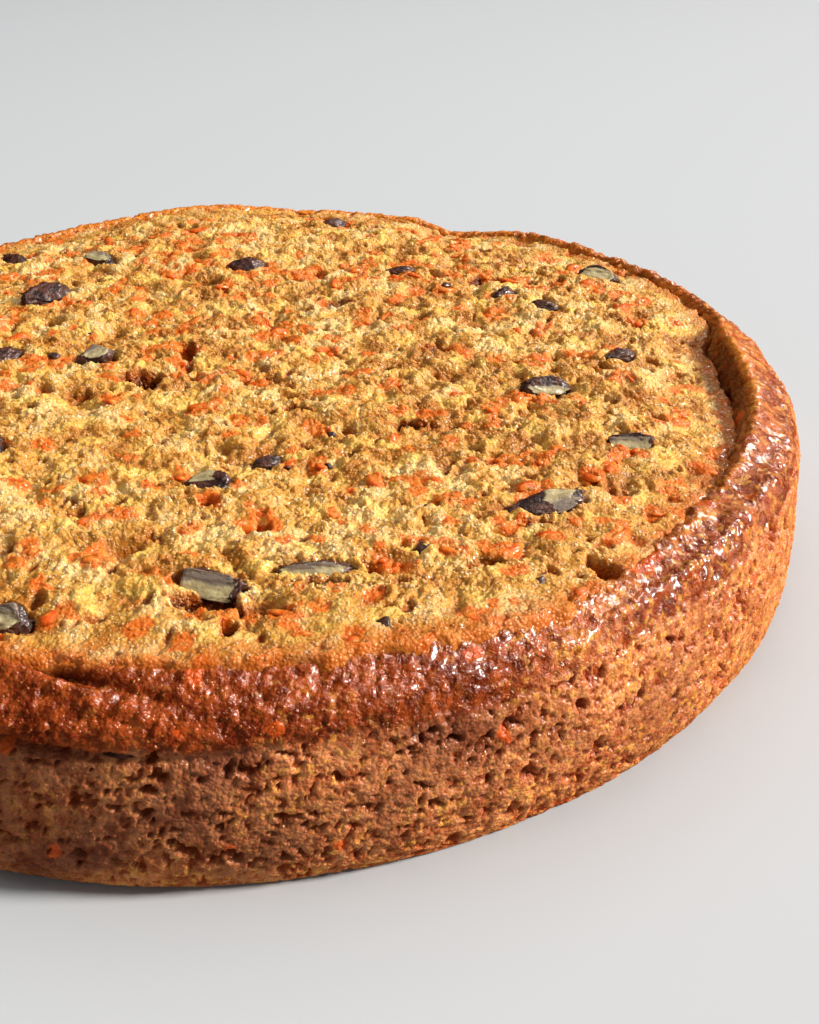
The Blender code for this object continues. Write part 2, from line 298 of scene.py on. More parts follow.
def ring_mesh(first, last):
    """A flat disc or ring of near-equal triangles. Ring k has 6k corners, and ring 0 is the middle."""
    starts, corners = {}, []
    for k in range(first, last + 1):
        starts[k] = sum(len(part) for part in corners)
        turn = np.arange(max(1, 6 * k)) * (2 * np.pi / max(1, 6 * k))
        corners.append(np.stack([k * np.cos(turn), k * np.sin(turn)], axis=1))
    faces = []
    for k in range(first + 1, last + 1):
        inner, outer = starts[k - 1], starts[k]
        inner_count, outer_count = max(1, 6 * (k - 1)), 6 * k
        for sector in range(6):
            j = np.arange(k)
            a = outer + (sector * k + j) % outer_count
            b = outer + (sector * k + j + 1) % outer_count
            c = inner + (sector * (k - 1) + j) % inner_count
            faces.append(np.stack([a, b, c], axis=1))
            j = np.arange(k - 1)
            a = inner + (sector * (k - 1) + j) % inner_count
            b = outer + (sector * k + j + 1) % outer_count
            c = inner + (sector * (k - 1) + j + 1) % inner_count
            faces.append(np.stack([a, b, c], axis=1))
    return np.concatenate(corners), np.concatenate(faces), starts


def make_piece(name, corners, faces, material, attributes=None):
    """A smooth-shaded object from corners in millimetres and faces, with a number for each corner by name."""
    mesh = bpy.data.meshes.new(name)
    place = np.array(corners, float)
    place[:, :2] -= MIDDLE
    mesh.vertices.add(len(place))
    mesh.vertices.foreach_set("co", (place * MM).ravel())
    flat = np.asarray(faces, np.int32)
    mesh.loops.add(flat.size)
    mesh.loops.foreach_set("vertex_index", flat.ravel())
    mesh.polygons.add(len(flat))
    mesh.polygons.foreach_set("loop_start", np.arange(len(flat), dtype=np.int32) * flat.shape[1])
    mesh.update(calc_edges=True)
    for key, values in (attributes or {}).items():
        mesh.attributes.new(key, "FLOAT", "POINT").data.foreach_set("value", np.asarray(values, np.float32))
    mesh.materials.append(material)
    mesh.shade_smooth()
    mesh.update()
    piece = bpy.data.objects.new(name, mesh)
    bpy.context.scene.collection.objects.link(piece)
    return piece


# --------------------------------------------------------------------------------------------------
# Node trees: one class for values, with arithmetic, and one for the tree that they are in.


class Value:
    """An output of a node, which arithmetic extends with Math nodes."""

    def __init__(self, tree, socket):
        self.tree, self.socket = tree, socket

    def math(self, operation, *others, swap=False):
        values = [self, *others]
        if swap:
            values.reverse()
        return self.tree.add("ShaderNodeMath", dict(enumerate(values)), operation=operation)

    def __add__(self, other):
        return self.math("ADD", other)

    def __sub__(self, other):
        return self.math("SUBTRACT", other)

    def __rsub__(self, other):
        return self.math("SUBTRACT", other, swap=True)

    def __mul__(self, other):
        return self.math("MULTIPLY", other)

    __radd__, __rmul__ = __add__, __mul__

    def clamp(self):
        return self.tree.add("ShaderNodeClamp", {"Value": self})

    def ramp(self, low, high):
        """0 at low and 1 at high, soft between."""
        levels = {"Value": self, "From Min": low, "From Max": high}
        return self.tree.add("ShaderNodeMapRange", levels, interpolation_type="SMOOTHSTEP")


class Tree:
    """A node tree being built, and one way to add any node to it."""

    def __init__(self, nodes_of):
        self.nodes, self.links = nodes_of.nodes, nodes_of.links

    def add(self, kind, inputs=None, out=0, **settings):
        """Adds a node with its settings and inputs, and gives the output that is named or numbered."""
        node = self.nodes.new(kind)
        for key, value in settings.items():
            setattr(node, key, value)
        for key, value in (inputs or {}).items():
            self.feed(node.inputs[key], value)
        return Value(self, node.outputs[out])

    def feed(self, socket, value):
        if isinstance(value, Value):
            self.links.new(value.socket, socket)
        elif value is not None:
            socket.default_value = value


class Paint(Tree):
    """A material being made, with its Principled shader."""

    def __init__(self, name, constants):
        self.material = bpy.data.materials.new(name)
        self.material.use_nodes = True
        super().__init__(self.material.node_tree)
        self.shader = self.nodes["Principled BSDF"]
        for key, value in constants.items():
            self.shader.inputs[key].default_value = value
        self.place = self.add("ShaderNodeTexCoord", out="Object")

    def number(self, name):
        """A number that the piece's corners carry."""
        return self.add("ShaderNodeAttribute", out="Fac", attribute_name=name)

    def noise(self, size, detail=2, rough=0.5, twist=0.0):
        """Smooth noise, 0 to 1, with lumps of the size in millimetres."""
        sockets = {"Vector": self.place, "Scale": 1 / (size * MM), "Detail": detail}
        sockets.update({"Roughness": rough, "Distortion": twist})
        return self.add("ShaderNodeTexNoise", sockets)

    def cells(self, size, out="Distance"):
        """Cells of the size in millimetres: the distance in shares of the size, or a colour of their own."""
        sockets = {"Vector": self.place, "Scale": 1 / (size * MM)}
        return self.add("ShaderNodeTexVoronoi", sockets, out=out)

    def part(self, colour, channel="Red"):
        """One channel of a colour as a number."""
        return self.add("ShaderNodeSeparateColor", {0: colour}, out=channel)

    def mix(self, share, first, second):
        """Two colours mixed by a share. A plain colour is a triple."""
        first, second = (value if isinstance(value, Value) else (*value, 1) for value in (first, second))
        sockets = {0: share, 6: first, 7: second}
        return self.add("ShaderNodeMix", sockets, out=2, data_type="RGBA")

    def coat(self, weight):
        """Feeds how much of a moist coat the surface has."""
        self.feed(self.shader.inputs["Coat Weight"], weight)

    def finish(self, colour, rough, height, strength, reach):
        """Feeds the shader: base colour, roughness, and a bump of height in millimetres."""
        self.feed(self.shader.inputs["Base Color"], colour)
        self.feed(self.shader.inputs["Roughness"], rough)
        bump = {"Height": height, "Distance": reach * MM, "Strength": strength}
        self.feed(self.shader.inputs["Normal"], self.add("ShaderNodeBump", bump))
        return self.material


# --------------------------------------------------------------------------------------------------
# Materials.


def crumb_material():
    """Golden translucent crumb: paler and browner in patches, orange by the shreds. Painted shade makes it
    red-brown in its pores, pockets and low places and darker in one broad patch, and painted highlight makes
    the tops of its beads pale.
    """
    soft = {"Subsurface Weight": 0.85, "Subsurface Radius": (1.0, 0.5, 0.2), "Subsurface Scale": 1.3 * MM}
    gloss = {"Specular IOR Level": 0.45, "Specular Tint": (1.0, 0.78, 0.46, 1), "Coat Roughness": 0.12}
    paint = Paint("crumb", {**soft, **gloss, "IOR": 1.45})
    tone, hollow = paint.number("tone"), paint.number("hollow")
    grain = paint.noise(0.7, detail=2, rough=0.6)
    beads = paint.cells(0.62)
    # The tone holds the crumb's own paler and browner patches, with the painted shade of its low places and
    # of one broad patch.
    colour = paint.mix(tone.ramp(0.1, 0.5), (0.33, 0.12, 0.014), (0.57, 0.29, 0.055))
    colour = paint.mix(tone.ramp(0.5, 0.95), colour, (0.72, 0.48, 0.18))
    colour = paint.mix(paint.number("yellow") * 0.65, colour, (0.80, 0.52, 0.12))
    # Painted highlight and shade: the tops of the fine beads are painted pale and the gaps between them dark.
    pale = beads.ramp(0.42, 0.12) * grain.ramp(0.35, 0.6)
    colour = paint.mix(pale * 0.35, colour, (0.74, 0.58, 0.34))
    colour = paint.mix(beads.ramp(0.4, 0.75) * 0.35, colour, (0.38, 0.13, 0.014))
    # Painted shade: pores, tears, crevices, dips, the air pockets, the pockets round the nuts and the crumb
    # by the lip's inner wall are painted dark red-brown, and the deepest nearly black.
    colour = paint.mix(hollow.ramp(0.08, 0.85) * 0.85, colour, (0.28, 0.043, 0.003))
    colour = paint.mix(hollow.ramp(0.86, 1.0) * 0.92, colour, (0.07, 0.006, 0.001))
    colour = paint.mix(paint.number("stain").ramp(0.1, 0.8) * 0.85, colour, (0.62, 0.125, 0.012))
    colour = paint.mix(paint.number("browned") * 0.9, colour, (0.46, 0.10, 0.010))
    moist = grain.ramp(0.5, 0.62) * (1 - hollow.ramp(0.1, 0.6))
    paint.coat(moist * 0.7)
    rough = 0.42 - grain.ramp(0.45, 0.65) * 0.2
    return paint.finish(colour, rough, (1 - beads) + grain * 0.7, 1.0, 0.26)


def crust_material():
    """Crust: translucent brown skin, porous on the side, glossy amber on the rim. It is golden on the far rim
    and by the crumb, and on the lip's crest where the crust is thinnest, partly its own colour and partly
    painted light shining through. The side and rim are partly painted lighter where they face the key light,
    and painted shade darkens pores, creases, grooves and the lip's inner wall.
    """
    soft = {"Subsurface Weight": 0.6, "Subsurface Radius": (1.0, 0.3, 0.1), "Subsurface Scale": 0.8 * MM}
    gloss = {"Specular IOR Level": 0.5, "Specular Tint": (1.0, 0.92, 0.84, 1)}
    coat = {"Coat Roughness": 0.2, "Coat IOR": 1.75}
    paint = Paint("crust", {**soft, **gloss, **coat, "IOR": 1.45})
    tone, hollow = paint.number("tone"), paint.number("hollow")
    band, film = paint.number("band"), paint.number("film")
    grain = paint.noise(0.75, detail=2, rough=0.6)
    beads = paint.cells(0.7)
    # This mark is partly crumb showing through and partly painted light: high on the side that faces the key
    # light, low on the shaded left.
    openness_and_light = paint.number("open")
    opened_and_lit = openness_and_light.ramp(0.0, 1.1)
    lift = tone.ramp(0.25, 0.75)
    skin = paint.mix(lift, (0.10, 0.022, 0.012), (0.17, 0.042, 0.024))
    porous = paint.mix(lift, (0.44, 0.125, 0.034), (0.72, 0.28, 0.095))
    # The side is painted lighter and more orange where the mark is high, and dark purple-brown where it is
    # low.
    side = paint.mix(opened_and_lit, skin, porous)
    amber = paint.mix(lift, (0.14, 0.015, 0.002), (0.34, 0.060, 0.008))
    glazed = paint.mix(tone.ramp(0.35, 0.75), (0.18, 0.022, 0.004), (0.60, 0.20, 0.060))
    # The rim is glazed and lighter where the mark is high, partly as painted light; the lip's inner wall is
    # painted dark amber as painted shade.
    rim = paint.mix(openness_and_light.ramp(0.55, 1.15), amber, glazed)
    colour = paint.mix(band, side, rim)
    # Golden: the far rim and the torn bits by the crumb in their own colour, and the lip's crest partly as
    # painted light.
    colour = paint.mix(paint.number("golden"), colour, (0.80, 0.28, 0.03))
    colour = paint.mix(grain.ramp(0.54, 0.7) * 0.25, colour, (0.62, 0.24, 0.07))
    speck = paint.noise(1.7, detail=2, rough=0.5)
    lively = opened_and_lit.ramp(0.25, 0.9)
    colour = paint.mix(speck.ramp(0.54, 0.64) * lively * 0.6, colour, (0.80, 0.38, 0.06))
    colour = paint.mix(speck.ramp(0.44, 0.36) * lively * 0.5, colour, (0.42, 0.085, 0.018))
    # Fine dark specks are painted for the shade in small pores.
    colour = paint.mix(grain.ramp(0.47, 0.34) * (0.5 - opened_and_lit * 0.2), colour, (0.09, 0.010, 0.002))
    # Painted shade: pores, creases, grooves and the lip's inner wall are painted dark, less so where the
    # crumb shows through on the lit side.
    depth = paint.mix(opened_and_lit, (0.06, 0.006, 0.001), (0.34, 0.052, 0.007))
    colour = paint.mix(hollow.ramp(0.1, 0.8) * 0.92, colour, depth)
    colour = paint.mix(paint.number("stain").ramp(0.3, 0.9) * 0.85, colour, (0.56, 0.085, 0.008))
    gleam = grain.ramp(0.5, 0.62) * 0.35 + band * 0.15 + film * 0.45
    paint.coat(gleam.clamp() * (1 - hollow.ramp(0.1, 0.6)))
    wrinkle = (paint.noise(1.5, detail=3, rough=0.55, twist=1.2) - 0.5).math("ABSOLUTE")
    rough = 0.44 - band * 0.1 - film * 0.1 - grain.ramp(0.48, 0.62) * (1 - film) * 0.26
    height = ((1 - beads) * 0.7 + grain * 0.8) * (1 - film * 0.6) + wrinkle * film * 3
    return paint.finish(colour, rough, height, 1.0, 0.38)


def nut_material():
    """Walnut: wrinkled dark skin with an oily shine, and moist flesh on the breaks, palest at its heart."""
    soft = {"Subsurface Weight": 0.4, "Subsurface Radius": (1.0, 0.7, 0.35), "Subsurface Scale": 1.2 * MM}
    paint = Paint("walnut", {**soft, "IOR": 1.47, "Coat Roughness": 0.12, "Specular IOR Level": 0.5})
    patch = paint.noise(2.5, detail=3, rough=0.6)
    fine = paint.noise(0.5, detail=2)
    flesh_share = paint.number("flesh").ramp(0.35, 0.65)
    skin = paint.mix(patch.ramp(0.35, 0.65), (0.016, 0.005, 0.004), (0.085, 0.026, 0.014))
    skin = paint.mix(fine.ramp(0.58, 0.75) * 0.3, skin, (0.15, 0.08, 0.05))
    middle = paint.mix(patch.ramp(0.4, 0.65), (0.31, 0.245, 0.12), (0.46, 0.39, 0.20))
    paleness = (paint.number("heart") + (patch - 0.5) * 0.8).ramp(0.1, 0.8)
    flesh = paint.mix(paleness, (0.17, 0.13, 0.10), middle)
    flesh = paint.mix(fine.ramp(0.55, 0.8) * 0.3, flesh, (0.62, 0.56, 0.38))
    colour = paint.mix(flesh_share, skin, flesh)
    paint.coat(0.3 + fine.ramp(0.45, 0.6) * 0.6)
    rises = (patch * 1.2 + fine * 0.6) * (1 - flesh_share * 0.6)
    return paint.finish(colour, 0.4 + fine * 0.2, rises, 0.9, 0.4)


def shred_material():
    """Carrot: translucent orange, moist, redder and paler in patches."""
    soft = {"Subsurface Weight": 0.8, "Subsurface Radius": (1.0, 0.35, 0.08), "Subsurface Scale": 1.6 * MM}
    gloss = {"Specular IOR Level": 0.5, "Specular Tint": (1.0, 0.8, 0.55, 1), "Coat Roughness": 0.15}
    paint = Paint("carrot", {**soft, **gloss, "IOR": 1.4})
    patch = paint.noise(2.2, detail=2)
    fine = paint.noise(0.6, detail=1)
    colour = paint.mix(patch.ramp(0.38, 0.62), (0.58, 0.085, 0.008), (0.66, 0.18, 0.022))
    colour = paint.mix(fine.ramp(0.5, 0.8) * 0.35, colour, (0.66, 0.28, 0.06))
    paint.coat(fine.ramp(0.45, 0.6))
    return paint.finish(colour, 0.4, patch * 0.8 + fine * 0.6, 0.7, 0.35)


def grain_material(name, dark, pale, open_and_lit_share):
    """Loose crumbs: each has the tone and colour of what it lies on, with the painted light and shade that
    this carries, and a moist gleam.
    """
    soft = {"Subsurface Weight": 0.8, "Subsurface Radius": (1.0, 0.6, 0.3), "Subsurface Scale": 0.35 * MM}
    gloss = {"Specular IOR Level": 0.5, "Specular Tint": (1.0, 0.78, 0.46, 1), "Coat Roughness": 0.1}
    paint = Paint(name, {**soft, **gloss, "IOR": 1.45})
    hollow = paint.number("hollow")
    own = paint.part(paint.cells(0.9, out="Color"))
    share = own * 0.25 + paint.number("tone").ramp(0.2, 0.9) * (0.8 - open_and_lit_share * 0.5)
    # On the crust the grains are lighter where the mark of crumb showing through, and of painted light, is
    # high.
    share = (share + paint.number("open").ramp(0.1, 1.2) * open_and_lit_share * 0.5).clamp()
    colour = paint.mix(share, dark, pale)
    # Golden like the crust under them: their own colour, and on the lip's crest partly painted light.
    colour = paint.mix(paint.number("golden") * 0.8, colour, (0.70, 0.28, 0.04))
    colour = paint.mix(paint.number("yellow") * 0.6, colour, (0.84, 0.56, 0.12))
    # In hollows they are painted dark as painted shade.
    deep = tuple(value * part for value, part in zip(dark, (0.7, 0.3, 0.15)))
    colour = paint.mix(hollow.ramp(0.1, 0.9) * 0.8, colour, deep)
    colour = paint.mix(paint.number("stain").ramp(0.1, 0.8) * 0.75, colour, (0.62, 0.16, 0.02))
    colour = paint.mix(paint.number("browned") * 0.85, colour, (0.44, 0.11, 0.012))
    sharp = paint.part(paint.cells(1.1, out="Color"), "Green").ramp(0.4, 0.6)
    paint.coat((0.2 + sharp * 0.6) * (1 - hollow.ramp(0.2, 0.8)))
    return paint.finish(colour, 0.35, paint.noise(0.4, detail=1), 0.5, 0.15)


# --------------------------------------------------------------------------------------------------
# The crumb's cut face.


def face_height(x, y):
    """The cut face, without its texture: the knife's swells, and the slope to its height at the rim."""
    radius, azimuth = polar(x, y)
    height = np.full(len(x), TOP)
    for px, py, reach, size in FACE_SWELLS:
        height = height + size * np.exp(-((x - px) ** 2 + (y - py) ** 2) / reach**2)
    near = smooth(-24, 0, radius - EDGE_RADIUS(azimuth))
    return height * (1 - near) + EDGE_HEIGHT(azimuth) * near


def oval(x, y, px, py, length, width, turn):
    """The distance from an oval's middle, 1 on its outline."""
    cos, sin = math.cos(math.radians(turn)), math.sin(math.radians(turn))
    dx, dy = x - px, y - py
    return np.hypot((dx * cos + dy * sin) / (length / 2), (dy * cos - dx * sin) / (width / 2))


def hollows(x, y):
    """How deep the air pockets that the knife cut lie at each point, and how far inside one each point is;
    the crumb paints the inside dark as painted shade.
    """
    depth, inside = np.zeros(len(x)), np.zeros(len(x))
    for px, py, length, width, deep, turn in HOLES:
        away = oval(x, y, px, py, length, width, turn)
        depth = np.maximum(depth, deep * np.clip(1 - away**2, 0, 1) ** 0.5)
        inside = np.maximum(inside, 1 - smooth(0.9, 1.12, away))
    return depth, inside


class Nut:
    """A walnut piece's place, axes and half sizes in millimetres, read from its CAD node."""

    def __init__(self, name):
        self.name = name
        corners = np.array([v.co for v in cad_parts[name].data.vertices]) / MM
        corners[:, :2] += MIDDLE
        self.centre = (corners.min(axis=0) + corners.max(axis=0)) / 2
        away = corners - self.centre
        _, axes = np.linalg.eigh(away.T @ away)
        self.axes = axes.T[::-1]
        if self.axes[2][2] < 0:
            self.axes[2] *= -1
        if np.linalg.det(self.axes) < 0:
            self.axes[1] *= -1
        spans = away @ self.axes.T
        self.half = (spans.max(axis=0) - spans.min(axis=0)) / 2
        self.centre = self.centre + ((spans.max(axis=0) + spans.min(axis=0)) / 2) @ self.axes

    def nearness(self, x, y):
        """The distance from the nut's middle seen from above, 1 at its outline."""
        away = np.stack([x, y], axis=1) - self.centre[:2]
        spread = sum((half**2) * np.outer(axis[:2], axis[:2]) for half, axis in zip(self.half, self.axes))
        return np.sqrt(np.einsum("ni,ij,nj->n", away, np.linalg.inv(spread), away))


NUTS = [Nut(name) for name in sorted(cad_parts) if name.startswith("walnut")]
FACE_NUTS = NUTS[:-1]  # the last is in the side


def mounds(points, size, seed, even, uneven):
    """Rounded lumps of the size, with sharp creases between them, and each lump's own height."""
    near, next_near, number = cells(points, size, seed)
    return even * (1 - (near / 0.75) ** 2) + uneven * (number - 0.5), next_near - near, number


def pits(points, size, seed, share, least, most):
    """Round-bottomed pits in some of the cells: their depth, 0 to 1, and the cell's number."""
    near, _, number = cells(points, size, seed)
    spare = np.clip((number - 1 + share) / share, 0, 1)
    reach = least + (most - least) * spare
    return np.clip(1 - (near / reach) ** 2, 0, 1) ** 0.6 * (number > 1 - share), spare


def crumb_relief(points):
    """The crumb's texture at flat points: its height, and how deep in a pore each is, 0 to 1, which the crumb
    paints dark as painted shade.
    """
    loose = stirred(points, 2.4, 0.8, 21)
    looser = stirred(points, 6, 2.4, 31)
    relief = 0.7 * wave(points, 17, 1) + 1.3 * wave(looser, 7, 2)
    clump, gap, _ = mounds(looser, 4.4, 41, 0.3, 0.6)
    crumb, crumb_gap, _ = mounds(loose, 1.9, 51, 0.2, 0.4)
    bead, _, _ = mounds(stirred(points, 1.2, 0.3, 65), 0.95, 61, 0.24, 0.34)
    pore, deep = pits(looser, 6.2, 71, 0.45, 0.12, 0.4)
    pit, _ = pits(loose, 2.9, 81, 0.38, 0.14, 0.36)
    dip = pits(stirred(points, 8, 3, 85), 12, 88, 0.6, 0.2, 0.42)[0] ** 1.6
    torn = wave(looser, 4.6, 91) + 0.7 * wave(loose, 2.2, 92) + 0.4 * wave(points, 1.2, 93)
    tear = patches(torn, 0.1, 0.5)
    crevice = 1 - smooth(0.0, 0.2, gap)
    crack = 1 - smooth(0.0, 0.16, crumb_gap)
    relief += clump + crumb + bead - tear * 1.9 - crevice * 0.4 - crack * 0.12 - dip * 2.2
    relief -= np.maximum(pore * (0.9 + 1.8 * deep), pit * 0.8)
    # Pores, tears, pits, crevices, cracks and dips go into this depth, which the material paints as shade.
    hollow = np.maximum(tear, pore) * 0.95 + pit * 0.5 + crevice * 0.25 + crack * 0.08 + dip * 0.5
    return relief, np.clip(hollow, 0, 1)


def shred_places():
    """Where carrot shreds lie in the cut face: x, y, length, width, turn. They lie in clusters."""
    random = np.random.default_rng(SEED + 1)
    rows = []
    while len(rows) < SHRED_COUNT:
        radius, turn = SHRED_FIELD * math.sqrt(random.random()), random.uniform(0, 2 * math.pi)
        large = random.random() < 0.5
        cluster = 1 + int(random.random() < 0.3) * random.integers(1, 3)
        lay = random.normal(0, 50)
        for _ in range(cluster):
            x, y = np.array([radius * math.cos(turn), radius * math.sin(turn)]) + random.normal(0, 2.6, 2)
            if large:
                length, width = random.uniform(3.0, 6.0), random.uniform(1.8, 3.2)
            else:
                length, width = random.uniform(1.2, 2.4, 2)
            rows.append((x, y, length, width, lay + random.normal(0, 30)))
    return np.array([row for row in rows if math.hypot(row[0], row[1]) < SHRED_FIELD])


SHREDS = shred_places()
STAIN_STEP = 0.4  # of the grid that the stains are worked out on
STAIN_REACH = 110  # half its side


def stain_grid():
    """How orange the crumb is near the shreds, on a square grid over the face."""
    count = int(2 * STAIN_REACH / STAIN_STEP) + 1
    grid = np.zeros((count, count))
    for x, y, length, width, turn in SHREDS:
        reach = np.array([-1, 1]) * (length / 2 + 2)
        spans = [np.clip((at + STAIN_REACH + reach) / STAIN_STEP, 0, count).astype(int) for at in (x, y)]
        rows, columns = np.meshgrid(*(np.arange(*span) for span in spans), indexing="ij")
        gx, gy = (index * STAIN_STEP - STAIN_REACH for index in (rows, columns))
        near = oval(gx, gy, x, y, length + 1.5, width + 1.5, turn)
        grid[rows, columns] = np.maximum(grid[rows, columns], 1 - smooth(0.7, 1.15, near))
    return grid


STAINS = stain_grid()


def stain(x, y):
    """The stain at each place."""
    i, j = ((np.clip(at, 1 - STAIN_REACH, STAIN_REACH - 1) + STAIN_REACH) / STAIN_STEP for at in (x, y))
    a, b = i.astype(int), j.astype(int)
    u, v = i - a, j - b
    low = STAINS[a, b] * (1 - u) + STAINS[a + 1, b] * u
    high = STAINS[a, b + 1] * (1 - u) + STAINS[a + 1, b + 1] * u
    return low * (1 - v) + high * v


def crumb_surface(flat):
    """The cut face at flat places: corners, and what its material reads."""
    points = np.column_stack([flat, np.zeros(len(flat))])
    points[:, 0] += 0.24 * wave(points, 1.3, 5)
    points[:, 1] += 0.24 * wave(points, 1.3, 6)
    x, y = points[:, 0], points[:, 1]
    radius, azimuth = polar(x, y)
    relief, hollow = crumb_relief(points)
    stir_x, stir_y = 1.2 * wave(points, 2.6, 15), 1.2 * wave(points, 2.6, 16)
    depth, inside = hollows(x + stir_x, y + stir_y)
    orange = stain(x + stir_x * 0.8, y + stir_y * 0.8)
    orange = orange * (0.45 + 0.55 * smooth(-0.4, 0.2, wave(points, 1.8, 27)))
    relief = relief * (1 - 0.4 * orange) + 0.2 * orange
    past = radius - EDGE_RADIUS(azimuth) - wave(points, 9, 17) * 1.3 - wave(points, 3.5, 18) * 1.0
    calmer = 1 - 0.6 * smooth(-16, -2, past)
    height = face_height(x, y) + relief * calmer - depth - np.clip(past, 0, None) * 1.9
    # The inside of the air pockets is painted dark as painted shade.
    hollow = np.maximum(hollow * 0.85, inside)
    # Round each nut the crumb is sunk into a pocket, which is painted dark as painted shade.
    for nut in FACE_NUTS:
        pocket = 1 - smooth(0.98, 1.2, nut.nearness(x, y) + 0.05 * stir_x)
        height = height - pocket * np.clip(height - (nut.centre[2] - 1.2), 0, None)
        hollow = np.maximum(hollow, pocket)
    # The crumb beside the lip's inner wall is painted darker, as the lip's painted shadow.
    hollow = np.maximum(hollow, 0.5 * smooth(-8, -1, past) * near_azimuth(azimuth, 0, 18))
    height = np.maximum(height, DEEPEST)
    far = near_azimuth(azimuth, 100, 75)
    browned = smooth(-6, 1.5, past + wave(points, 4, 19) * 2.5) * (1 - 0.6 * far)
    tone = 0.52 + 0.3 * wave(points, 26, 22) + 0.5 * wave(points, 11, 25) + 0.55 * wave(points, 5, 23)
    # Finer random tone, and the low places of the relief painted a little darker and the high ones lighter,
    # as painted shade.
    tone += 0.2 * wave(points, 2.2, 24) + 0.08 * relief
    # A broad patch right of the middle, towards the front, is painted darker, as painted shade.
    tone -= 0.16 * np.exp(-((x - 52) ** 2 + (y + 22) ** 2) / 42**2)
    looks = {"hollow": hollow, "stain": orange, "browned": browned, "tone": tone}
    looks["yellow"] = smooth(0.1, 0.5, wave(points, 6, 26)) * (1 - orange)
    looks["golden"] = 0.5 * far * smooth(-3, 1, past)
    return np.column_stack([x, y, height]), looks


def closed_disc(corners, faces, starts, first, last, floor):
    """Closes a disc or ring of the cut face below, with a skirt at each edge and a floor."""
    rims = [np.arange(starts[k], starts[k] + 6 * k) for k in (first, last) if k]
    added, made, floors = [], [faces], []
    total = len(corners)
    for number, rim in enumerate(rims):
        low = total + np.arange(len(rim))
        total += len(rim)
        floors.append(low)
        added.append(corners[rim] * (1, 1, 0) + (0, 0, floor))
        outer = number == len(rims) - 1
        a, b, c, d = rim, np.roll(rim, -1), low, np.roll(low, -1)
        sides = [np.stack([a, c, b], 1), np.stack([b, c, d], 1)]
        made += sides if outer else [side[:, ::-1] for side in sides]
    if len(rims) == 1:
        added.append([(0, 0, floor)])
        low = floors[0]
        made.append(np.stack([np.roll(low, -1), low, np.full(len(low), total)], 1))
    else:
        made.append(bridged(floors[0], floors[1]))
    return np.concatenate([corners, *added]), np.concatenate(made)


def bridged(inner, outer):
    """Faces, looking down, between two rings of corners that start at the same azimuth."""
    faces, i, j = [], 0, 0
    while i < len(inner) or j < len(outer):
        if j < len(outer) and (i == len(inner) or (j + 1) / len(outer) <= (i + 1) / len(inner)):
            faces.append((inner[i % len(inner)], outer[(j + 1) % len(outer)], outer[j % len(outer)]))
            j += 1
        else:
            faces.append((inner[i % len(inner)], inner[(i + 1) % len(inner)], outer[j % len(outer)]))
            i += 1
    return np.array(faces)


def make_crumb(name, first, last, material):
    """A disc or ring of the cut face. Where it meets the next one, it runs on a little below it."""
    low, high = max(0, first - LAP), min(last + LAP, int(FACE_REACH / GRID))
    flat, faces, starts = ring_mesh(low, high)
    corners, looks = crumb_surface(flat * GRID)
    ring = np.concatenate([np.full(max(1, 6 * k), k) for k in range(low, high + 1)])
    past = np.where(ring > last, ring - last, 0) + np.where(ring < first, first - ring, 0)
    corners[:, 2] -= (past * 0.35) ** 2 + past * 0.05
    corners, faces = closed_disc(corners, faces, starts, low, high, CRUMB_FLOOR)
    extra = len(corners) - len(ring)
    looks = {key: np.concatenate([values, np.zeros(extra)]) for key, values in looks.items()}
    return make_piece(name, corners, faces, material, looks)


def make_crumbs(material):
    """The cut face in three pieces, from the middle out."""
    rings = [0, *(int(radius / GRID) for radius in (*CRUMB_SEAMS, FACE_REACH))]
    names = ("crumb_middle", "crumb_ring", "crumb_rim")
    return [make_crumb(name, first, last, material) for name, first, last in zip(names, rings, rings[1:])]


# --------------------------------------------------------------------------------------------------
# The crust.


def spline(controls, shares):
    """A smooth curve near the control points, at shares 0 to 1 of its length in control points."""
    padded = np.pad(controls, ((0, 0), (2, 2), (0, 0)), "edge")
    at = np.clip(shares, 0, 1 - 1e-9) * (padded.shape[1] - 3)
    start = at.astype(int)
    t = (at - start)[None, :, None]
    p = [padded[:, start + i] for i in range(4)]
    curve = (1 - t) ** 3 * p[0] + (3 * t**3 - 6 * t**2 + 4) * p[1]
    curve += (3 * (1 + t - t * t) * t + 1) * p[2] + t**3 * p[3]
    return curve / 6


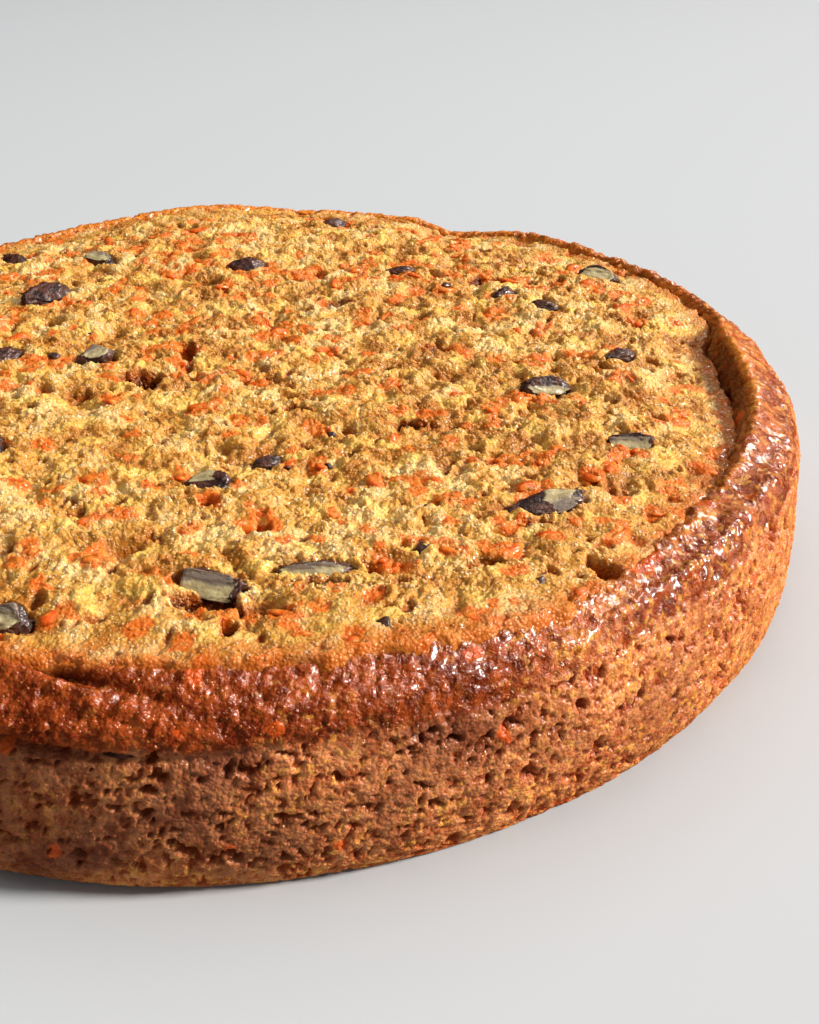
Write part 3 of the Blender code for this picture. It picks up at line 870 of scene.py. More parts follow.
def crust_controls(azimuth):
    """The crust's section at each azimuth, from inside the crumb over the rim and down to the base."""
    edge, crumb = EDGE_RADIUS(azimuth), EDGE_HEIGHT(azimuth)
    crest, high = CREST_RADIUS(azimuth), CREST_HEIGHT(azimuth)
    out, low = SHOULDER_RADIUS(azimuth), SHOULDER_HEIGHT(azimuth)
    ridge = smooth(-74, -56, azimuth) * (1 - smooth(-24, -10, azimuth))
    foot = np.minimum(edge + 0.4, crest - 2.2)
    sunk = 1 - near_azimuth(azimuth, -38, 18)
    rows = [
        (edge - 5, crumb - 7),
        (edge - 3, crumb - 6.5),
        (edge - 0.8, crumb - 1.6 - 2.9 * sunk),
        (foot - 0.2, crumb - 0.4 - sunk),
        (foot * 0.5 + crest * 0.5 - 0.5, (crumb + high) / 2 + 0.3),
        (crest - 0.4, high + 0.35),
        (crest + 0.5, high + 0.3),
        (crest * 0.5 + out * 0.5 - 0.3 + ridge * 0.3, (high + low) / 2 - ridge * 0.1),
        (out - 0.5, low + 0.3 + ridge * 0.4),
        (out + 0.2, low - 0.1 + ridge * 0.3),
        (out * 0.4 + RADIUS * 0.6, low - 3.2),
    ]
    wall = ((-0.4, 25), (0.2, 18.5), (0.0, 12), (-0.7, 6))
    base = ((0.9, 2.2), (0.3, 0.3), (-1.2, 0), (-3.0, 0))
    rows += [(RADIUS + reach, height) for reach, height in wall]
    rows += [(BASE_RADIUS + reach, height) for reach, height in base]
    rows = [(radius + 0 * edge, height + 0 * edge) for radius, height in rows]
    return np.stack([np.stack(row, axis=-1) for row in rows], axis=1)


def even_shares(controls, spacing):
    """Shares along the section whose points are evenly spaced on average."""
    trial = np.linspace(0, 1, 1200)
    curve = spline(controls[:: max(1, len(controls) // 60)], trial)
    steps = np.linalg.norm(np.diff(curve, axis=1), axis=2).mean(axis=0)
    length = np.concatenate([[0], np.cumsum(steps)])
    return np.interp(np.linspace(0, length[-1], int(length[-1] / spacing) + 1), length, trial)


def crust_relief(points, band, open_crumb_and_lit):
    """How far the crust stands out, and how deep in a pore each point is, which the material paints dark as
    painted shade.
    """
    loose = stirred(stirred(points, 3.0, 1.3, 121), 0.9, 0.3, 125)
    wide = loose * (1, 1, 1.5)
    relief = 0.4 * wave(points, 24, 101) + 0.25 * wave(points, 9, 102)
    torn = wave(wide, 4.2, 105) + 0.7 * wave(wide, 2.0, 106) + 0.45 * wave(points, 1.1, 107)
    tear = patches(torn + open_crumb_and_lit * 0.35, 0.11, 0.16)
    ragged = wave(wide, 2.1, 108) + 0.8 * wave(points, 1.2, 109) + open_crumb_and_lit * 0.3
    rag = patches(ragged, 0.13, 0.2)
    fine = wave(points, 1.3, 110) + 0.6 * wave(points, 0.7, 111) + open_crumb_and_lit * 0.2
    prick = patches(fine, 0.2, 0.25)
    pore, deep = pits(wide, 5.4, 113, 0.55, 0.1, 0.32)
    bead, _, _ = mounds(points, 1.1, 151, 0.16, 0.2)
    side = 1 - band
    holes = np.maximum(tear * 1.8, pore * (1.0 + 1.6 * deep)) + rag * 0.7 + prick * 0.5
    holes = holes * (1 - 0.35 * np.clip(open_crumb_and_lit, 0, 1))
    relief += bead * 0.4 + 0.2 * wave(points, 2.2, 103) - holes * (1 - 0.8 * band) + side * 0.4
    lump, gap, _ = mounds(loose, 2.6, 161, 0.32, 0.44)
    small, small_gap, _ = mounds(stirred(points, 1.5, 0.5, 165), 1.3, 171, 0.26, 0.36)
    crease = (1 - smooth(0, 0.2, gap)) * 0.2 + (1 - smooth(0, 0.15, small_gap)) * 0.12
    _, azimuth = polar(points[:, 0], points[:, 1])
    glazed = near_azimuth(azimuth, -26, 46)
    smoother = 1 - 0.7 * glazed - 0.5 * near_azimuth(azimuth, 105, 75)
    dents = 0.8 * wave(points, 6.5, 114) + 0.4 * wave(loose, 3.2, 115)
    crinkle = 0.8 * np.abs(wave(loose, 2.4, 118)) + 0.4 * np.abs(wave(points, 1.3, 119))
    relief += band * ((lump + small - crease) * smoother + (dents + crinkle) * 0.75 * glazed)
    # Pores, tears and the creases between the rim's lumps are painted dark as painted shade through this
    # mark.
    dark = np.clip(np.maximum(tear, pore) + rag * 0.75 + prick * 0.4, 0, 1)
    return relief, np.clip(dark * (1 - 0.65 * band) + crease * band, 0, 1)


def above_fold(azimuth, height, crease):
    """How far above a fold's wandering crease each place is."""
    return height - crease - 1.2 * np.sin(np.radians(azimuth * 9))


def fold(azimuth, height):
    """How far the side stands out from its section, with the crust that folded over it."""
    reach = np.zeros(azimuth.shape)
    for at, width, crease, size in FOLDS:
        lift = above_fold(azimuth, height, crease)
        over = np.exp(-(((lift - 2.6) / 2.4) ** 2)) - 1.4 * np.exp(-(((lift + 0.9) / 0.9) ** 2))
        reach += size * over * near_azimuth(azimuth, at, width)
    for at, width, level, tall, size in SIDE_SWELLS:
        reach += size * near_azimuth(azimuth, at, width) * np.exp(-(((height - level) / tall) ** 2))
    return reach


def creases(azimuth, height):
    """How deep inside a fold's crease each place is, 0 to 1."""
    inside = np.zeros(azimuth.shape)
    for at, width, crease, _ in FOLDS:
        lift = above_fold(azimuth, height, crease)
        inside = np.maximum(inside, np.exp(-(((lift + 0.9) / 0.8) ** 2)) * near_azimuth(azimuth, at, width))
    return inside


def skin_stain(points):
    """How orange the skin is by the shreds that are baked into it."""
    near, _, number = cells(stirred(points, 2.5, 1.2, 191), 7.5, 195)
    return (1 - smooth(0.1, 0.3, near)) * (number > 0.72)


def crust_surface():
    """The browned skin on a grid of azimuths and places along its section.

    Gives its corners, the direction outward at each, and what its material reads.
    """
    turns = int(2 * math.pi * RADIUS / SKIN_GRID)
    azimuth = (np.arange(turns) * 360 / turns + 180) % 360 - 180
    controls = crust_controls(azimuth)
    section = spline(controls, even_shares(controls, SKIN_GRID))
    flow = np.gradient(section, axis=1)
    normal = np.stack([-flow[..., 1], flow[..., 0]], axis=-1)
    normal /= np.linalg.norm(normal, axis=-1, keepdims=True)
    turn = np.radians(azimuth)[:, None]
    radius, height = section[..., 0], section[..., 1]
    shape = height.shape
    around = np.repeat(azimuth[:, None], shape[1], axis=1)
    points = np.stack([radius * np.cos(turn), radius * np.sin(turn), height], axis=-1).reshape(-1, 3)

    def uneven(size, seed):
        """Smooth noise on the grid."""
        return wave(points, size, seed).reshape(shape)

    deep = 3.4 + 4.0 * near_azimuth(around, -125, 62)
    ragged = uneven(8, 181) * 1.5 + uneven(2.4, 185) * 0.8
    band = smooth(-deep - 2.2, -deep, height - CREST_HEIGHT(around) + ragged)
    # Where the crumb shows through the skin: toward the right and low on the side. The mark is also painted
    # light: it makes the side that faces the key light lighter and more orange, and leaves the shaded left
    # dark purple-brown.
    open_crumb_and_lit = near_azimuth(around, -15, 87) + 0.5 * smooth(8, 1, height) + 0.4 * uneven(14, 104)
    texture = crust_relief(points, band.ravel(), open_crumb_and_lit.ravel())
    relief, hollow = (values.reshape(shape) for values in texture)
    flat = smooth(0.4, 3.0, height)
    inner = smooth(2.5, -0.5, radius - EDGE_RADIUS(around)) * (height > RIM_FOOT)
    relief = relief + inner * (0.9 * uneven(3.4, 188) + 0.5 * uneven(1.6, 189))
    # Fold creases are painted dark as painted shade.
    hollow = np.maximum(hollow, creases(around, height))
    across = radius - CREST_RADIUS(around)
    # The lip's inner wall is painted darker as painted shade.
    wall = smooth(-0.4, -1.6, across) * (height > WALL_FOOT) * near_azimuth(around, -2, 17)
    hollow = np.maximum(hollow, 0.6 * wall)
    for at, width, reach, drift, depth in GROOVES:
        off = radius - reach - drift * ((around - at + 180) % 360 - 180)
        along = near_azimuth(around, at, width)
        groove = np.exp(-((off / 0.9) ** 2)) * along * (height > RIM_FOOT)
        relief = relief - depth * groove + 0.6 * np.exp(-(((off - 2.2) / 1.1) ** 2)) * along
        # Grooves are painted dark as painted shade.
        hollow = np.maximum(hollow, groove * 0.9)
    out = relief * (0.25 + 0.75 * flat)
    stands_out = (outline(around) + fold(around, height)) * (radius / RADIUS) ** 4
    radius = radius + stands_out + normal[..., 0] * out
    lifted = np.where(height < 0.05, 0.0, np.maximum(height + normal[..., 1] * out, 0.0))
    corners = np.stack([radius * np.cos(turn), radius * np.sin(turn), lifted], axis=-1)
    outward = np.stack([np.cos(turn) * normal[..., 0], np.sin(turn) * normal[..., 0], normal[..., 1]], -1)

    # The lip's crest is painted golden where the crust is thinnest: partly its own colour, and partly painted
    # light shining through it and catching its edge.
    lip = near_azimuth(around, -2, 14)
    crest = np.exp(-(((across + 0.1) / 1.0) ** 2)) * (height > CREST_FOOT)
    thin_and_lit_crest = lip + 0.7 * near_azimuth(around, -36, 14) * (uneven(5, 186) > 0)
    far = near_azimuth(around, 95, 65) * smooth(29, 33, height) * (0.7 + 0.3 * uneven(6, 187))
    orange = inner * (0.5 + 0.5 * uneven(4.5, 190)) * (1 - lip)
    looks = {"hollow": hollow, "band": band}
    looks["tone"] = 0.5 + 0.15 * uneven(20, 182) + 0.25 * uneven(5, 183) + 0.4 * uneven(1.8, 184)
    # The lip's inner wall is taken out of the mark, so that it is painted dark as painted shade.
    looks["open"] = open_crumb_and_lit - 1.2 * (1 - smooth(-2, -0.3, across)) * (height > CREST_FOOT)
    looks["film"] = band * near_azimuth(around, -37, 43)
    looks["golden"] = np.clip(np.maximum.reduce([crest * thin_and_lit_crest, far, orange]), 0, 0.9)
    looks["stain"] = skin_stain(points).reshape(shape)
    frayed = uneven(2, 192) * 0.8
    for px, py, reach in SKIN_SHREDS:
        near = np.hypot(corners[..., 0] - px, corners[..., 1] - py) + frayed
        looks["stain"] = np.maximum(looks["stain"], smooth(reach, reach - 1.4, near) * (height > WALL_FOOT))
    return corners, outward, looks


def seam_row(corners, height):
    """The place along the section where the side is at a height."""
    heights = corners[..., 2].mean(axis=0)
    start = int(np.argmax(heights))
    return start + int(np.argmin(np.abs(heights[start:] - height)))


def make_crust(name, surface, first, last, material):
    """Part of the skin, closed inside the cake. Where it meets the next one, it runs on a little below it."""
    corners, outward, looks = surface
    turns, count = corners.shape[:2]
    low, high = max(0, first - SKIN_LAP), min(count, last + SKIN_LAP)
    row = np.arange(low, high)
    past = np.where(row >= last, row - last + 1, 0) + np.where(row < first, first - row, 0)
    part = corners[:, low:high] - outward[:, low:high] * ((past * 0.3) ** 2 + past * 0.05)[None, :, None]
    rows = high - low
    i, j = np.meshgrid(np.arange(turns), np.arange(rows - 1), indexing="ij")
    a, b = i * rows + j, i * rows + j + 1
    c, d = (i + 1) % turns * rows + j, (i + 1) % turns * rows + j + 1
    faces = [np.stack([a, b, c], -1).reshape(-1, 3), np.stack([c, b, d], -1).reshape(-1, 3)]
    ring, after = np.arange(turns), (np.arange(turns) + 1) % turns
    ends = [(0, 0, float(part[:, 0, 2].min())), (0, 0, float(part[:, -1, 2].min()))]
    top, base = turns * rows, turns * rows + 1
    faces.append(np.stack([ring * rows, after * rows, np.full(turns, top)], 1))
    faces.append(np.stack([after * rows + rows - 1, ring * rows + rows - 1, np.full(turns, base)], 1))
    looks = {key: np.concatenate([values[:, low:high].ravel(), [0, 0]]) for key, values in looks.items()}
    corners = np.concatenate([part.reshape(-1, 3), ends])
    return make_piece(name, corners, np.concatenate(faces), material, looks)


def make_crusts(material):
    """The skin in three pieces, from the rim down."""
    surface = crust_surface()
    seams = [seam_row(surface[0], height) for height in SKIN_SEAMS]
    seams = [0, *seams, surface[0].shape[1]]
    names = ("crust_rim", "crust_side", "crust_base")
    return [
        make_crust(name, surface, max(0, first - 1), last, material)
        for name, first, last in zip(names, seams, seams[1:])
    ]


# --------------------------------------------------------------------------------------------------
# Walnut pieces.

# The nuts whose flesh shows: number, how boxy and how tapered each is, the part of its length and of its
# width that is broken open, and where across its width the flesh turns pale. Lengths run left to right,
# widths from low to high.
OPEN_NUTS = {
    1: (0.62, 0.0, (-1.3, 0.72), (-1.3, 1.3), (0.4, -0.3)),
    2: (0.8, 0.2, (-1.3, 1.3), (-1.0, 0.74), (0.7, -0.4)),
    3: (0.9, 0.2, (-0.8, 0.3), (0.0, 1.3), (-0.6, 0.6)),
    4: (0.8, 0.55, (0.1, 1.3), (-1.3, 1.3), (-0.8, 0.8)),
    5: (0.8, 0.1, (-0.8, 1.3), (-1.3, 0.05), (0.4, -0.5)),
    6: (0.6, 0.1, (-1.3, 0.92), (-1.3, 0.6), (0.9, -0.5)),
    8: (0.8, 0.2, (-0.8, 1.0), (-0.5, 0.6), (3.0, 2.0)),
    14: (0.8, 0.2, (-0.9, 1.0), (-0.8, 0.9), (1.5, -1.0)),
    16: (0.9, 0.3, (-1.3, 1.3), (-1.3, 0.8), (0.5, 0.1)),
    19: (0.8, 0.4, (-1.3, 0.75), (-1.0, 1.3), (0.8, -0.5)),
}
WHOLE_NUT = (0.9, 0.25, (2, 3), (2, 3), (0, 1))  # the same for the others, whose breaks lie beyond their ends
FLAT = 0.55  # the height, as a share, above which an open nut is broken off flat


def window(value, ends):
    """1 between two ends, soft at both."""
    return smooth(ends[0] - 0.06, ends[0] + 0.06, value) * (1 - smooth(ends[1] - 0.06, ends[1] + 0.06, value))


def make_nut(index, nut, material):
    """One broken walnut piece: a wrinkled lump, or a slab whose break shows the flesh."""
    build = bmesh.new()
    bmesh.ops.create_icosphere(build, subdivisions=5, radius=1)
    unit = np.array([v.co for v in build.verts])
    unit /= np.linalg.norm(unit, axis=1)[:, None]
    faces = [[v.index for v in face.verts] for face in build.faces]
    build.free()
    random = np.random.default_rng(SEED + 100 + index)
    seed = 1000 + index * 10
    boxy, taper, along, across, pale = OPEN_NUTS.get(index, WHOLE_NUT)
    form = np.sign(unit) * np.abs(unit) ** boxy
    form = form * (1 + 0.2 * wave(unit, 0.9, seed) + 0.1 * wave(unit, 0.4, seed + 1))[:, None]
    ridge = np.abs(wave(unit * (1, 2.2, 1.4), 0.5, seed + 2))
    form *= (1 + 0.16 * (ridge - 0.3))[:, None]
    rightward, upward = np.sign(nut.axes[0][0]), np.sign(nut.axes[1][2])
    long, wide = form[:, 0] * rightward, form[:, 1] * upward
    form[:, 1:] *= (1 - taper * smooth(0.4, -1, long))[:, None]
    flesh = heart = np.zeros(len(unit))
    ragged = 0.18 * wave(unit, 0.5, seed + 7) + 0.1 * wave(unit, 0.2, seed + 8)
    if index in OPEN_NUTS:
        past = form[:, 2] - FLAT
        form[:, 2] -= np.clip(past, 0, None) * 0.9
        form[:, 2] += smooth(0.0, 0.1, past) * (ragged * 0.6 + 0.2 * wide * (wide > 0.3))
        flesh = smooth(-0.02, 0.05, past) * window(long + ragged, along) * window(wide + ragged, across)
        heart = smooth(pale[0], pale[1], wide + ragged * 1.5)
    for _ in range(3):
        direction = random.normal(size=3) * (1, 1, 0.4)
        direction /= np.linalg.norm(direction)
        past = form @ direction - random.uniform(0.78, 0.95)
        form = form - np.outer(np.clip(past, 0, None) * 0.9, direction)
    wrinkles = 0.04 * wave(unit, 0.14, seed + 9) + 0.09 * wave(unit, 0.3, seed + 6)
    form = form * (1 + wrinkles * (1 - flesh))[:, None]
    span = (form.max(axis=0) - form.min(axis=0)) / 2
    form = (form - (form.max(axis=0) + form.min(axis=0)) / 2) / span * nut.half
    corners = nut.centre + form @ nut.axes
    return make_piece(f"{nut.name}_look", corners, faces, material, {"flesh": flesh, "heart": heart})


# --------------------------------------------------------------------------------------------------
# What is scattered: Geometry Nodes set shapes out on a surface or on points.


def kinds(name, shapes):
    """A collection of small shapes that are set out again and again. It isn't in the scene itself."""
    collection = bpy.data.collections.new(name)
    for i, (corners, faces) in enumerate(shapes):
        mesh = bpy.data.meshes.new(f"{name}_{i}")
        mesh.from_pydata([tuple(corner) for corner in corners], [], [tuple(face) for face in faces])
        mesh.shade_smooth()
        collection.objects.link(bpy.data.objects.new(f"{name}_{i}", mesh))
    return collection


def pebble(random, subdivisions, uneven):
    """A rounded uneven lump, 1 across."""
    build = bmesh.new()
    bmesh.ops.create_icosphere(build, subdivisions=subdivisions, radius=0.5)
    corners = [np.array(v.co) * (1 + random.uniform(-uneven, uneven)) for v in build.verts]
    faces = [[v.index for v in face.verts] for face in build.faces]
    build.free()
    return corners, faces


def facet_bead(random):
    """A tiny lump of eight faces, 1 across."""
    corners = [(0.5, 0, 0), (-0.5, 0, 0), (0, 0.5, 0), (0, -0.5, 0), (0, 0, 0.5), (0, 0, -0.5)]
    corners = [np.array(corner) * random.uniform(0.8, 1.25) for corner in corners]
    return corners, [(0, 2, 4), (2, 1, 4), (1, 3, 4), (3, 0, 4), (2, 0, 5), (1, 2, 5), (3, 1, 5), (0, 3, 5)]


def strip(random, rows=5):
    """A grated shred, 1 long: a bent strip with a lens section, tapering to both ends."""
    bend, twist = random.uniform(-0.22, 0.22), random.uniform(-0.5, 0.5)
    corners, faces = [], []
    for i in range(rows):
        share = i / (rows - 1)
        swell = math.sin(math.pi * (0.12 + 0.76 * share)) ** 0.6
        sway, lift = bend * math.sin(math.pi * share), 0.06 * math.sin(2.4 * math.pi * share)
        middle = np.array([share - 0.5, sway, lift])
        for j in range(6):
            turn = 2 * math.pi * j / 6 + twist * share
            across = 0.5 * swell * math.cos(turn) * random.uniform(0.85, 1.12)
            up = 0.5 * swell * math.sin(turn) * random.uniform(0.8, 1.1)
            corners.append(middle + np.array([0, across, up]))
    for i in range(rows - 1):
        for j in range(6):
            a, b = i * 6 + j, i * 6 + (j + 1) % 6
            faces.append((a, b, b + 6, a + 6))
    faces.append(tuple(reversed(range(6))))
    faces.append(tuple(range((rows - 1) * 6, rows * 6)))
    return corners, faces


def new_group(name, inputs):
    """An empty Geometry Nodes group with a geometry input and output and the named inputs."""
    group = bpy.data.node_groups.new(name, "GeometryNodeTree")
    group.interface.new_socket("Geometry", in_out="OUTPUT", socket_type="NodeSocketGeometry")
    group.interface.new_socket("Geometry", in_out="INPUT", socket_type="NodeSocketGeometry")
    for label, kind in inputs:
        group.interface.new_socket(label, in_out="INPUT", socket_type=f"NodeSocket{kind}")
    tree = Tree(group)
    start = group.nodes.new("NodeGroupInput")
    return group, tree, {socket.name: Value(tree, socket) for socket in start.outputs if socket.name}


def finish_group(tree, group, given, spots, turn, scale):
    """Ends a group: one of the given shapes on every spot, made real, smooth-shaded and with its material."""
    shapes = tree.add("GeometryNodeCollectionInfo", {0: given["Kinds"], 1: True, 2: True})
    placing = {"Points": spots, "Instance": shapes, "Pick Instance": True, "Rotation": turn, "Scale": scale}
    placed = tree.add("GeometryNodeInstanceOnPoints", placing)
    real = tree.add("GeometryNodeRealizeInstances", {0: placed})
    smooth_shaded = tree.add("GeometryNodeSetShadeSmooth", {0: real})
    dressed = tree.add("GeometryNodeSetMaterial", {0: smooth_shaded, "Material": given["Material"]})
    tree.feed(group.nodes.new("NodeGroupOutput").inputs[0], dressed)
    return group


def sprinkle_group():
    """Scatters shapes over a surface, where its corners' "keep" is 1, half sunk and turned at random."""
    inputs = [("Kinds", "Collection"), ("Spacing", "Float"), ("Per Area", "Float"), ("Smallest", "Float")]
    inputs += [("Largest", "Float"), ("Sink", "Float"), ("Seed", "Int"), ("Material", "Material")]
    group, tree, given = new_group("sprinkle", inputs)
    seed = given["Seed"]
    keep = tree.add("GeometryNodeInputNamedAttribute", {"Name": "keep"}, data_type="FLOAT")
    spread = {"Mesh": given["Geometry"], "Distance Min": given["Spacing"], "Density Max": given["Per Area"]}
    spread.update({"Density Factor": keep, "Seed": seed})
    spots = tree.add("GeometryNodeDistributePointsOnFaces", spread, distribute_method="POISSON")
    normal = Value(tree, spots.socket.node.outputs["Normal"])
    turns = {0: (0, 0, 0), 1: (6.3, 6.3, 6.3), "Seed": seed}
    turn = tree.add("FunctionNodeRandomValue", turns, data_type="FLOAT_VECTOR")
    sizes = {2: given["Smallest"], 3: given["Largest"], "Seed": seed + 1}
    size = tree.add("FunctionNodeRandomValue", sizes, out=1, data_type="FLOAT")
    stretches = {0: (0.75, 0.75, 0.75), 1: (1.25, 1.25, 1.25), "Seed": seed + 2}
    stretch = tree.add("FunctionNodeRandomValue", stretches, data_type="FLOAT_VECTOR")
    scale = tree.add("ShaderNodeVectorMath", {0: stretch, "Scale": size}, operation="SCALE")
    sunk = {0: normal, "Scale": 0 - size * given["Sink"]}
    lowered = tree.add("ShaderNodeVectorMath", sunk, operation="SCALE")
    spots = tree.add("GeometryNodeSetPosition", {0: spots, "Offset": lowered})
    return finish_group(tree, group, given, spots, turn, scale)


def set_out_group():
    """Sets shapes out on points, each with the turn and the size that its point carries."""
    group, tree, given = new_group("set_out", [("Kinds", "Collection"), ("Material", "Material")])
    turn = tree.add("GeometryNodeInputNamedAttribute", {"Name": "turn"}, data_type="FLOAT_VECTOR")
    size = tree.add("GeometryNodeInputNamedAttribute", {"Name": "size"}, data_type="FLOAT_VECTOR")
    return finish_group(tree, group, given, given["Geometry"], turn, size)


def grown(name, surface_mesh, group, settings):
    """The plain mesh that a group makes from a surface, as a piece of its own."""
    piece = bpy.data.objects.new(name, surface_mesh)
    bpy.context.scene.collection.objects.link(piece)
    modifier = piece.modifiers.new("grow", "NODES")
    modifier.node_group = group
    for item in group.interface.items_tree:
        if item.in_out == "INPUT" and item.name in settings:
            modifier[item.identifier] = settings[item.name]
    depsgraph = bpy.context.evaluated_depsgraph_get()
    mesh = bpy.data.meshes.new_from_object(piece.evaluated_get(depsgraph))
    piece.modifiers.clear()
    piece.data = mesh
    mesh.name = name
    for attribute in [a.name for a in mesh.attributes if a.name in ("keep", "turn", "size")]:
        mesh.attributes.remove(mesh.attributes[attribute])
    return piece


def kept_copy(piece, keep):
    """A copy of a piece's mesh that carries where things may be scattered on it."""
    mesh = piece.data.copy()
    mesh.attributes.new("keep", "FLOAT", "POINT").data.foreach_set("value", np.asarray(keep, np.float32))
    return mesh


def points_mesh(name, places, turns, sizes):
    """Loose points, in millimetres, that carry turns in radians and sizes in millimetres."""
    mesh = bpy.data.meshes.new(name)
    place = np.array(places, float)
    place[:, :2] -= MIDDLE
    mesh.from_pydata(place * MM, [], [])
    for key, values in (("turn", np.array(turns, float)), ("size", np.array(sizes, float) * MM)):
        layer = mesh.attributes.new(key, "FLOAT_VECTOR", "POINT")
        layer.data.foreach_set("vector", values.astype(np.float32).ravel())
    return mesh


def corner_looks(piece, keys):
    """A piece's corners in millimetres, as x, y and z, and the numbers that they carry."""
    corners = np.empty(len(piece.data.vertices) * 3)
    piece.data.vertices.foreach_get("co", corners)
    corners = corners.reshape(-1, 3) / MM
    corners[:, :2] += MIDDLE
    looks = {key: np.empty(len(corners)) for key in keys}
    for key, values in looks.items():
        piece.data.attributes[key].data.foreach_get("value", values)
    return corners.T, looks


def kept_places(piece):
    """Where crumbs lie on a crumb piece, 0 to 1: inside the crust, off the nuts, and few on the shreds."""
    (x, y, z), looks = corner_looks(piece, ("stain", "yellow"))
    radius, azimuth = polar(x, y)
    keep = (radius < EDGE_RADIUS(azimuth) + 0.5) & (z > RIM_FOOT)
    for nut in FACE_NUTS:
        keep &= nut.nearness(x, y) > 1.04
    return keep * (1 - np.maximum(looks["stain"] * 0.5, looks["yellow"] * 0.65))


def kept_on_skin(piece):
    """Where granules lie on a crust piece, 0 to 1: on its outside, and more where the crumb shows through and
    on the side that the key light faces.
    """
    (x, y, z), looks = corner_looks(piece, ("open", "band", "hollow", "film"))
    radius, azimuth = polar(x, y)
    outside = (z > 0.8) & (radius > EDGE_RADIUS(azimuth) + 0.6)
    share = 0.25 + 0.5 * smooth(0.2, 1.2, looks["open"]) + 0.4 * looks["band"]
    return np.clip(share, 0, 1) * outside * (1 - 0.7 * looks["hollow"]) * (1 - 0.8 * looks["film"])


def lie_on_face(name, rows, sunk, tip, random):
    """Spots for things that lie in the cut face, from rows of x, y, length, width and turn.

    Each is sunk by a share of its width, and tips to its side by an angle in radians.
    """
    x, y, length, width, turn = rows.T
    height = crumb_surface(rows[:, :2])[0][:, 2] - width * sunk
    tips = [random.normal(0, spread, len(rows)) for spread in (0.3, tip)]
    turns = np.column_stack([*tips, np.radians(turn)])
    sizes = np.column_stack([length, width, width * 0.5])
    return points_mesh(name, np.column_stack([x, y, height]), turns, sizes)


def make_shreds(random, group, material):
    """The carrot shreds that lie clear of the nuts and the crust."""
    x, y = SHREDS[:, 0], SHREDS[:, 1]
    radius, azimuth = polar(x, y)
    clear = radius < EDGE_RADIUS(azimuth) - 0.5
    for nut in FACE_NUTS:
        clear &= nut.nearness(x, y) > 1.25
    spots = lie_on_face("shred_spots", SHREDS[clear], 0.2, 0.15, random)
    shapes = kinds("shred", [strip(random) for _ in range(6)])
    return grown("carrot_shreds", spots, group, {"Kinds": shapes, "Material": material})


def make_chips(random, group, material):
    """Small dark bits of walnut."""
    rows = [(*chip, random.uniform(0, 180)) for chip in CHIPS]
    for _ in range(LOOSE_CHIPS):
        place, size = random.uniform(-75, 75, 2), random.uniform(1.0, 2.0, 2)
        rows.append((*place, *size, random.uniform(0, 180)))
    spots = lie_on_face("chip_spots", np.array(rows), 0.1, 0.2, random)
    shapes = kinds("chip", [pebble(random, 2, 0.3) for _ in range(5)])
    return grown("walnut_chips", spots, group, {"Kinds": shapes, "Material": material})


# Loose crumbs: least spacing, number for a square millimetre, smallest, largest, share sunk, first seed.
SCATTERED = {
    "crumb_grains": (0.9, 0.21, 0.6, 1.0, 0.25, 3),
    "crumb_beads": (0.45, 0.86, 0.35, 0.7, 0.12, 13),
    "crust_beads": (0.55, 0.45, 0.3, 0.7, 0.2, 23),
}


def make_scattered(name, number, piece, keep, group, shapes, material):
    """Loose crumbs of one kind on a piece, where keep says."""
    spacing, per_area, smallest, largest, sink, seed = SCATTERED[name]
    settings = {"Kinds": shapes, "Spacing": spacing * MM, "Per Area": per_area / MM**2, "Sink": sink}
    settings.update({"Smallest": smallest * MM, "Largest": largest * MM})
    settings.update({"Seed": seed + number, "Material": material})
    return grown(f"{name}_{number}", kept_copy(piece, keep), group, settings)


# --------------------------------------------------------------------------------------------------
# Camera, lights and floor.


CAMERA = (0.298, -2.2, 1.293)  # its place from the middle of the base, in the cake's radii
TILT = 30.2  # degrees that it looks down by
SENSOR, LENS = 36, 45.5625
FLOOR_SIDE = 3.0  # half of it, in metres
FLOOR_GAP = 0.0002  # below the base, so that the two don't lie in one plane
# Lights: name, place, what it faces, width, power, colour.
LIGHTS = (
    ("key", (3.6, -0.51, 2.22), (0, 0, 0.03), 0.8, 375, (1.0, 0.94, 0.88)),
    ("panel", (1.2, 1.15, 1.9), (0.06, -0.05, 0.03), 0.8, 36, (1.0, 0.96, 0.95)),
    ("sky", (-0.15, 0.25, 1.5), (0, 0, 0.03), 1.8, 13, (0.96, 0.98, 1.0)),
    ("front", (-0.7, -1.3, 0.5), (0, 0, 0.0), 0.8, 2, (1.0, 0.98, 0.96)),
)


def area_light(name, place, target, size, power, colour):
    """A round soft light. Only the key and the panel gleam, and the panel does nothing else."""
    data = bpy.data.lights.new(name, "AREA")
    data.shape = "DISK"
    data.size, data.energy, data.color = size, power, colour
    light = bpy.data.objects.new(name, data)
    bpy.context.scene.collection.objects.link(light)
    light.location = place
    light.rotation_euler = (Vector(target) - light.location).to_track_quat("-Z", "Y").to_euler()
    light.visible_glossy = name in ("key", "panel")
    light.visible_diffuse = name != "panel"


def make_camera():
    """The camera, in front of the cake and above it."""
    scene = bpy.context.scene
    camera = bpy.data.objects.new("camera", bpy.data.cameras.new("camera"))
    scene.collection.objects.link(camera)
    camera.data.sensor_width, camera.data.lens = SENSOR, LENS
    camera.data.clip_start = 0.01
    x, y, z = (share * RADIUS for share in CAMERA)
    camera.location = Vector((x - MIDDLE[0], y - MIDDLE[1], z)) * MM
    camera.rotation_euler = Euler((math.radians(90 - TILT), 0, 0))
    scene.camera = camera


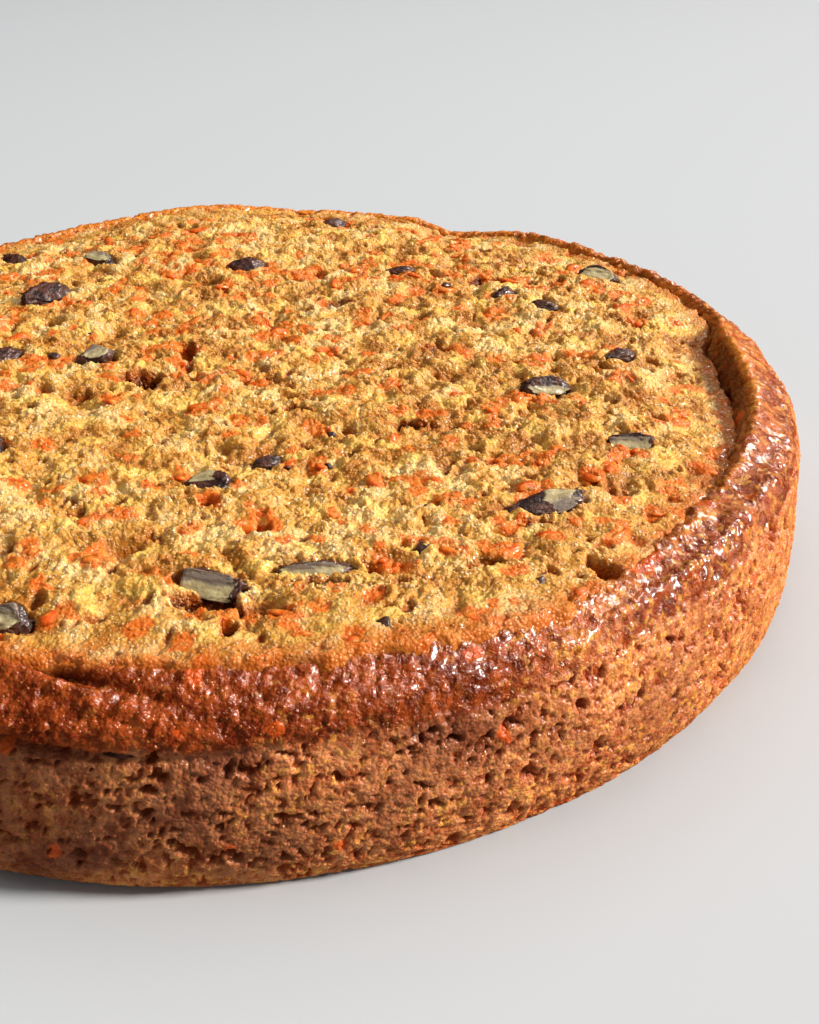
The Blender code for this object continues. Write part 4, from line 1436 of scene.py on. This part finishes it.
def make_floor():
    """A plain pale floor."""
    mesh = bpy.data.meshes.new("floor")
    low, high = -FLOOR_SIDE, FLOOR_SIDE
    mesh.from_pydata([(low, low, 0), (high, low, 0), (high, high, 0), (low, high, 0)], [], [(0, 1, 2, 3)])
    floor = bpy.data.objects.new("floor", mesh)
    bpy.context.scene.collection.objects.link(floor)
    floor.location.z = -FLOOR_GAP
    floor.visible_glossy = False
    paint = Paint("floor", {"Roughness": 0.6, "Specular IOR Level": 0.0})
    paint.feed(paint.shader.inputs["Base Color"], (0.435, 0.453, 0.468, 1))
    mesh.materials.append(paint.material)


def make_studio():
    """Camera, floor, a dim even world and the lights."""
    make_camera()
    make_floor()
    world = bpy.data.worlds.new("studio")
    bpy.context.scene.world = world
    world.use_nodes = True
    background = world.node_tree.nodes["Background"]
    background.inputs["Color"].default_value = (0.93, 0.95, 1.0, 1)
    background.inputs["Strength"].default_value = 0.16
    world.cycles_visibility.glossy = False
    for light in LIGHTS:
        area_light(*light)
    bpy.context.scene.view_settings.view_transform = "Standard"


# --------------------------------------------------------------------------------------------------


def main():
    crumb_paint, crust_paint = crumb_material(), crust_material()
    nut_paint, shred_paint = nut_material(), shred_material()
    crumb, crust = make_crumbs(crumb_paint), make_crusts(crust_paint)
    pieces = [(piece, "cake") for piece in (*crumb, *crust)]
    for piece, _ in pieces:
        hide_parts("cake")
    for index, nut in enumerate(NUTS, 1):
        look = make_nut(index, nut, nut_paint)
        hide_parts(nut.name)
        pieces.append((look, "walnut"))

    random = np.random.default_rng(SEED + 2)
    sprinkle, set_out = sprinkle_group(), set_out_group()
    pieces.append((make_shreds(random, set_out, shred_paint), "cake"))
    pieces.append((make_chips(random, set_out, nut_paint), "walnut"))
    grains = kinds("grain", [pebble(random, 1, 0.25) for _ in range(6)])
    beads = kinds("bead", [facet_bead(random) for _ in range(6)])
    crumb_grain = grain_material("crumb_grains", (0.44, 0.19, 0.032), (0.76, 0.57, 0.32), 0)
    crust_grain = grain_material("crust_grains", (0.20, 0.036, 0.008), (0.66, 0.27, 0.075), 1)
    loose = []
    for number, piece in enumerate(crumb):
        keep = kept_places(piece)
        loose.append(make_scattered("crumb_grains", number, piece, keep, sprinkle, grains, crumb_grain))
        loose.append(make_scattered("crumb_beads", number, piece, keep, sprinkle, beads, crumb_grain))
    for number, piece in enumerate(crust):
        keep = kept_on_skin(piece)
        loose.append(make_scattered("crust_beads", number, piece, keep, sprinkle, beads, crust_grain))
    pieces += [(piece, "cake") for piece in loose]

    for piece, slot in pieces:
        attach(piece, "root")
    make_studio()


main()
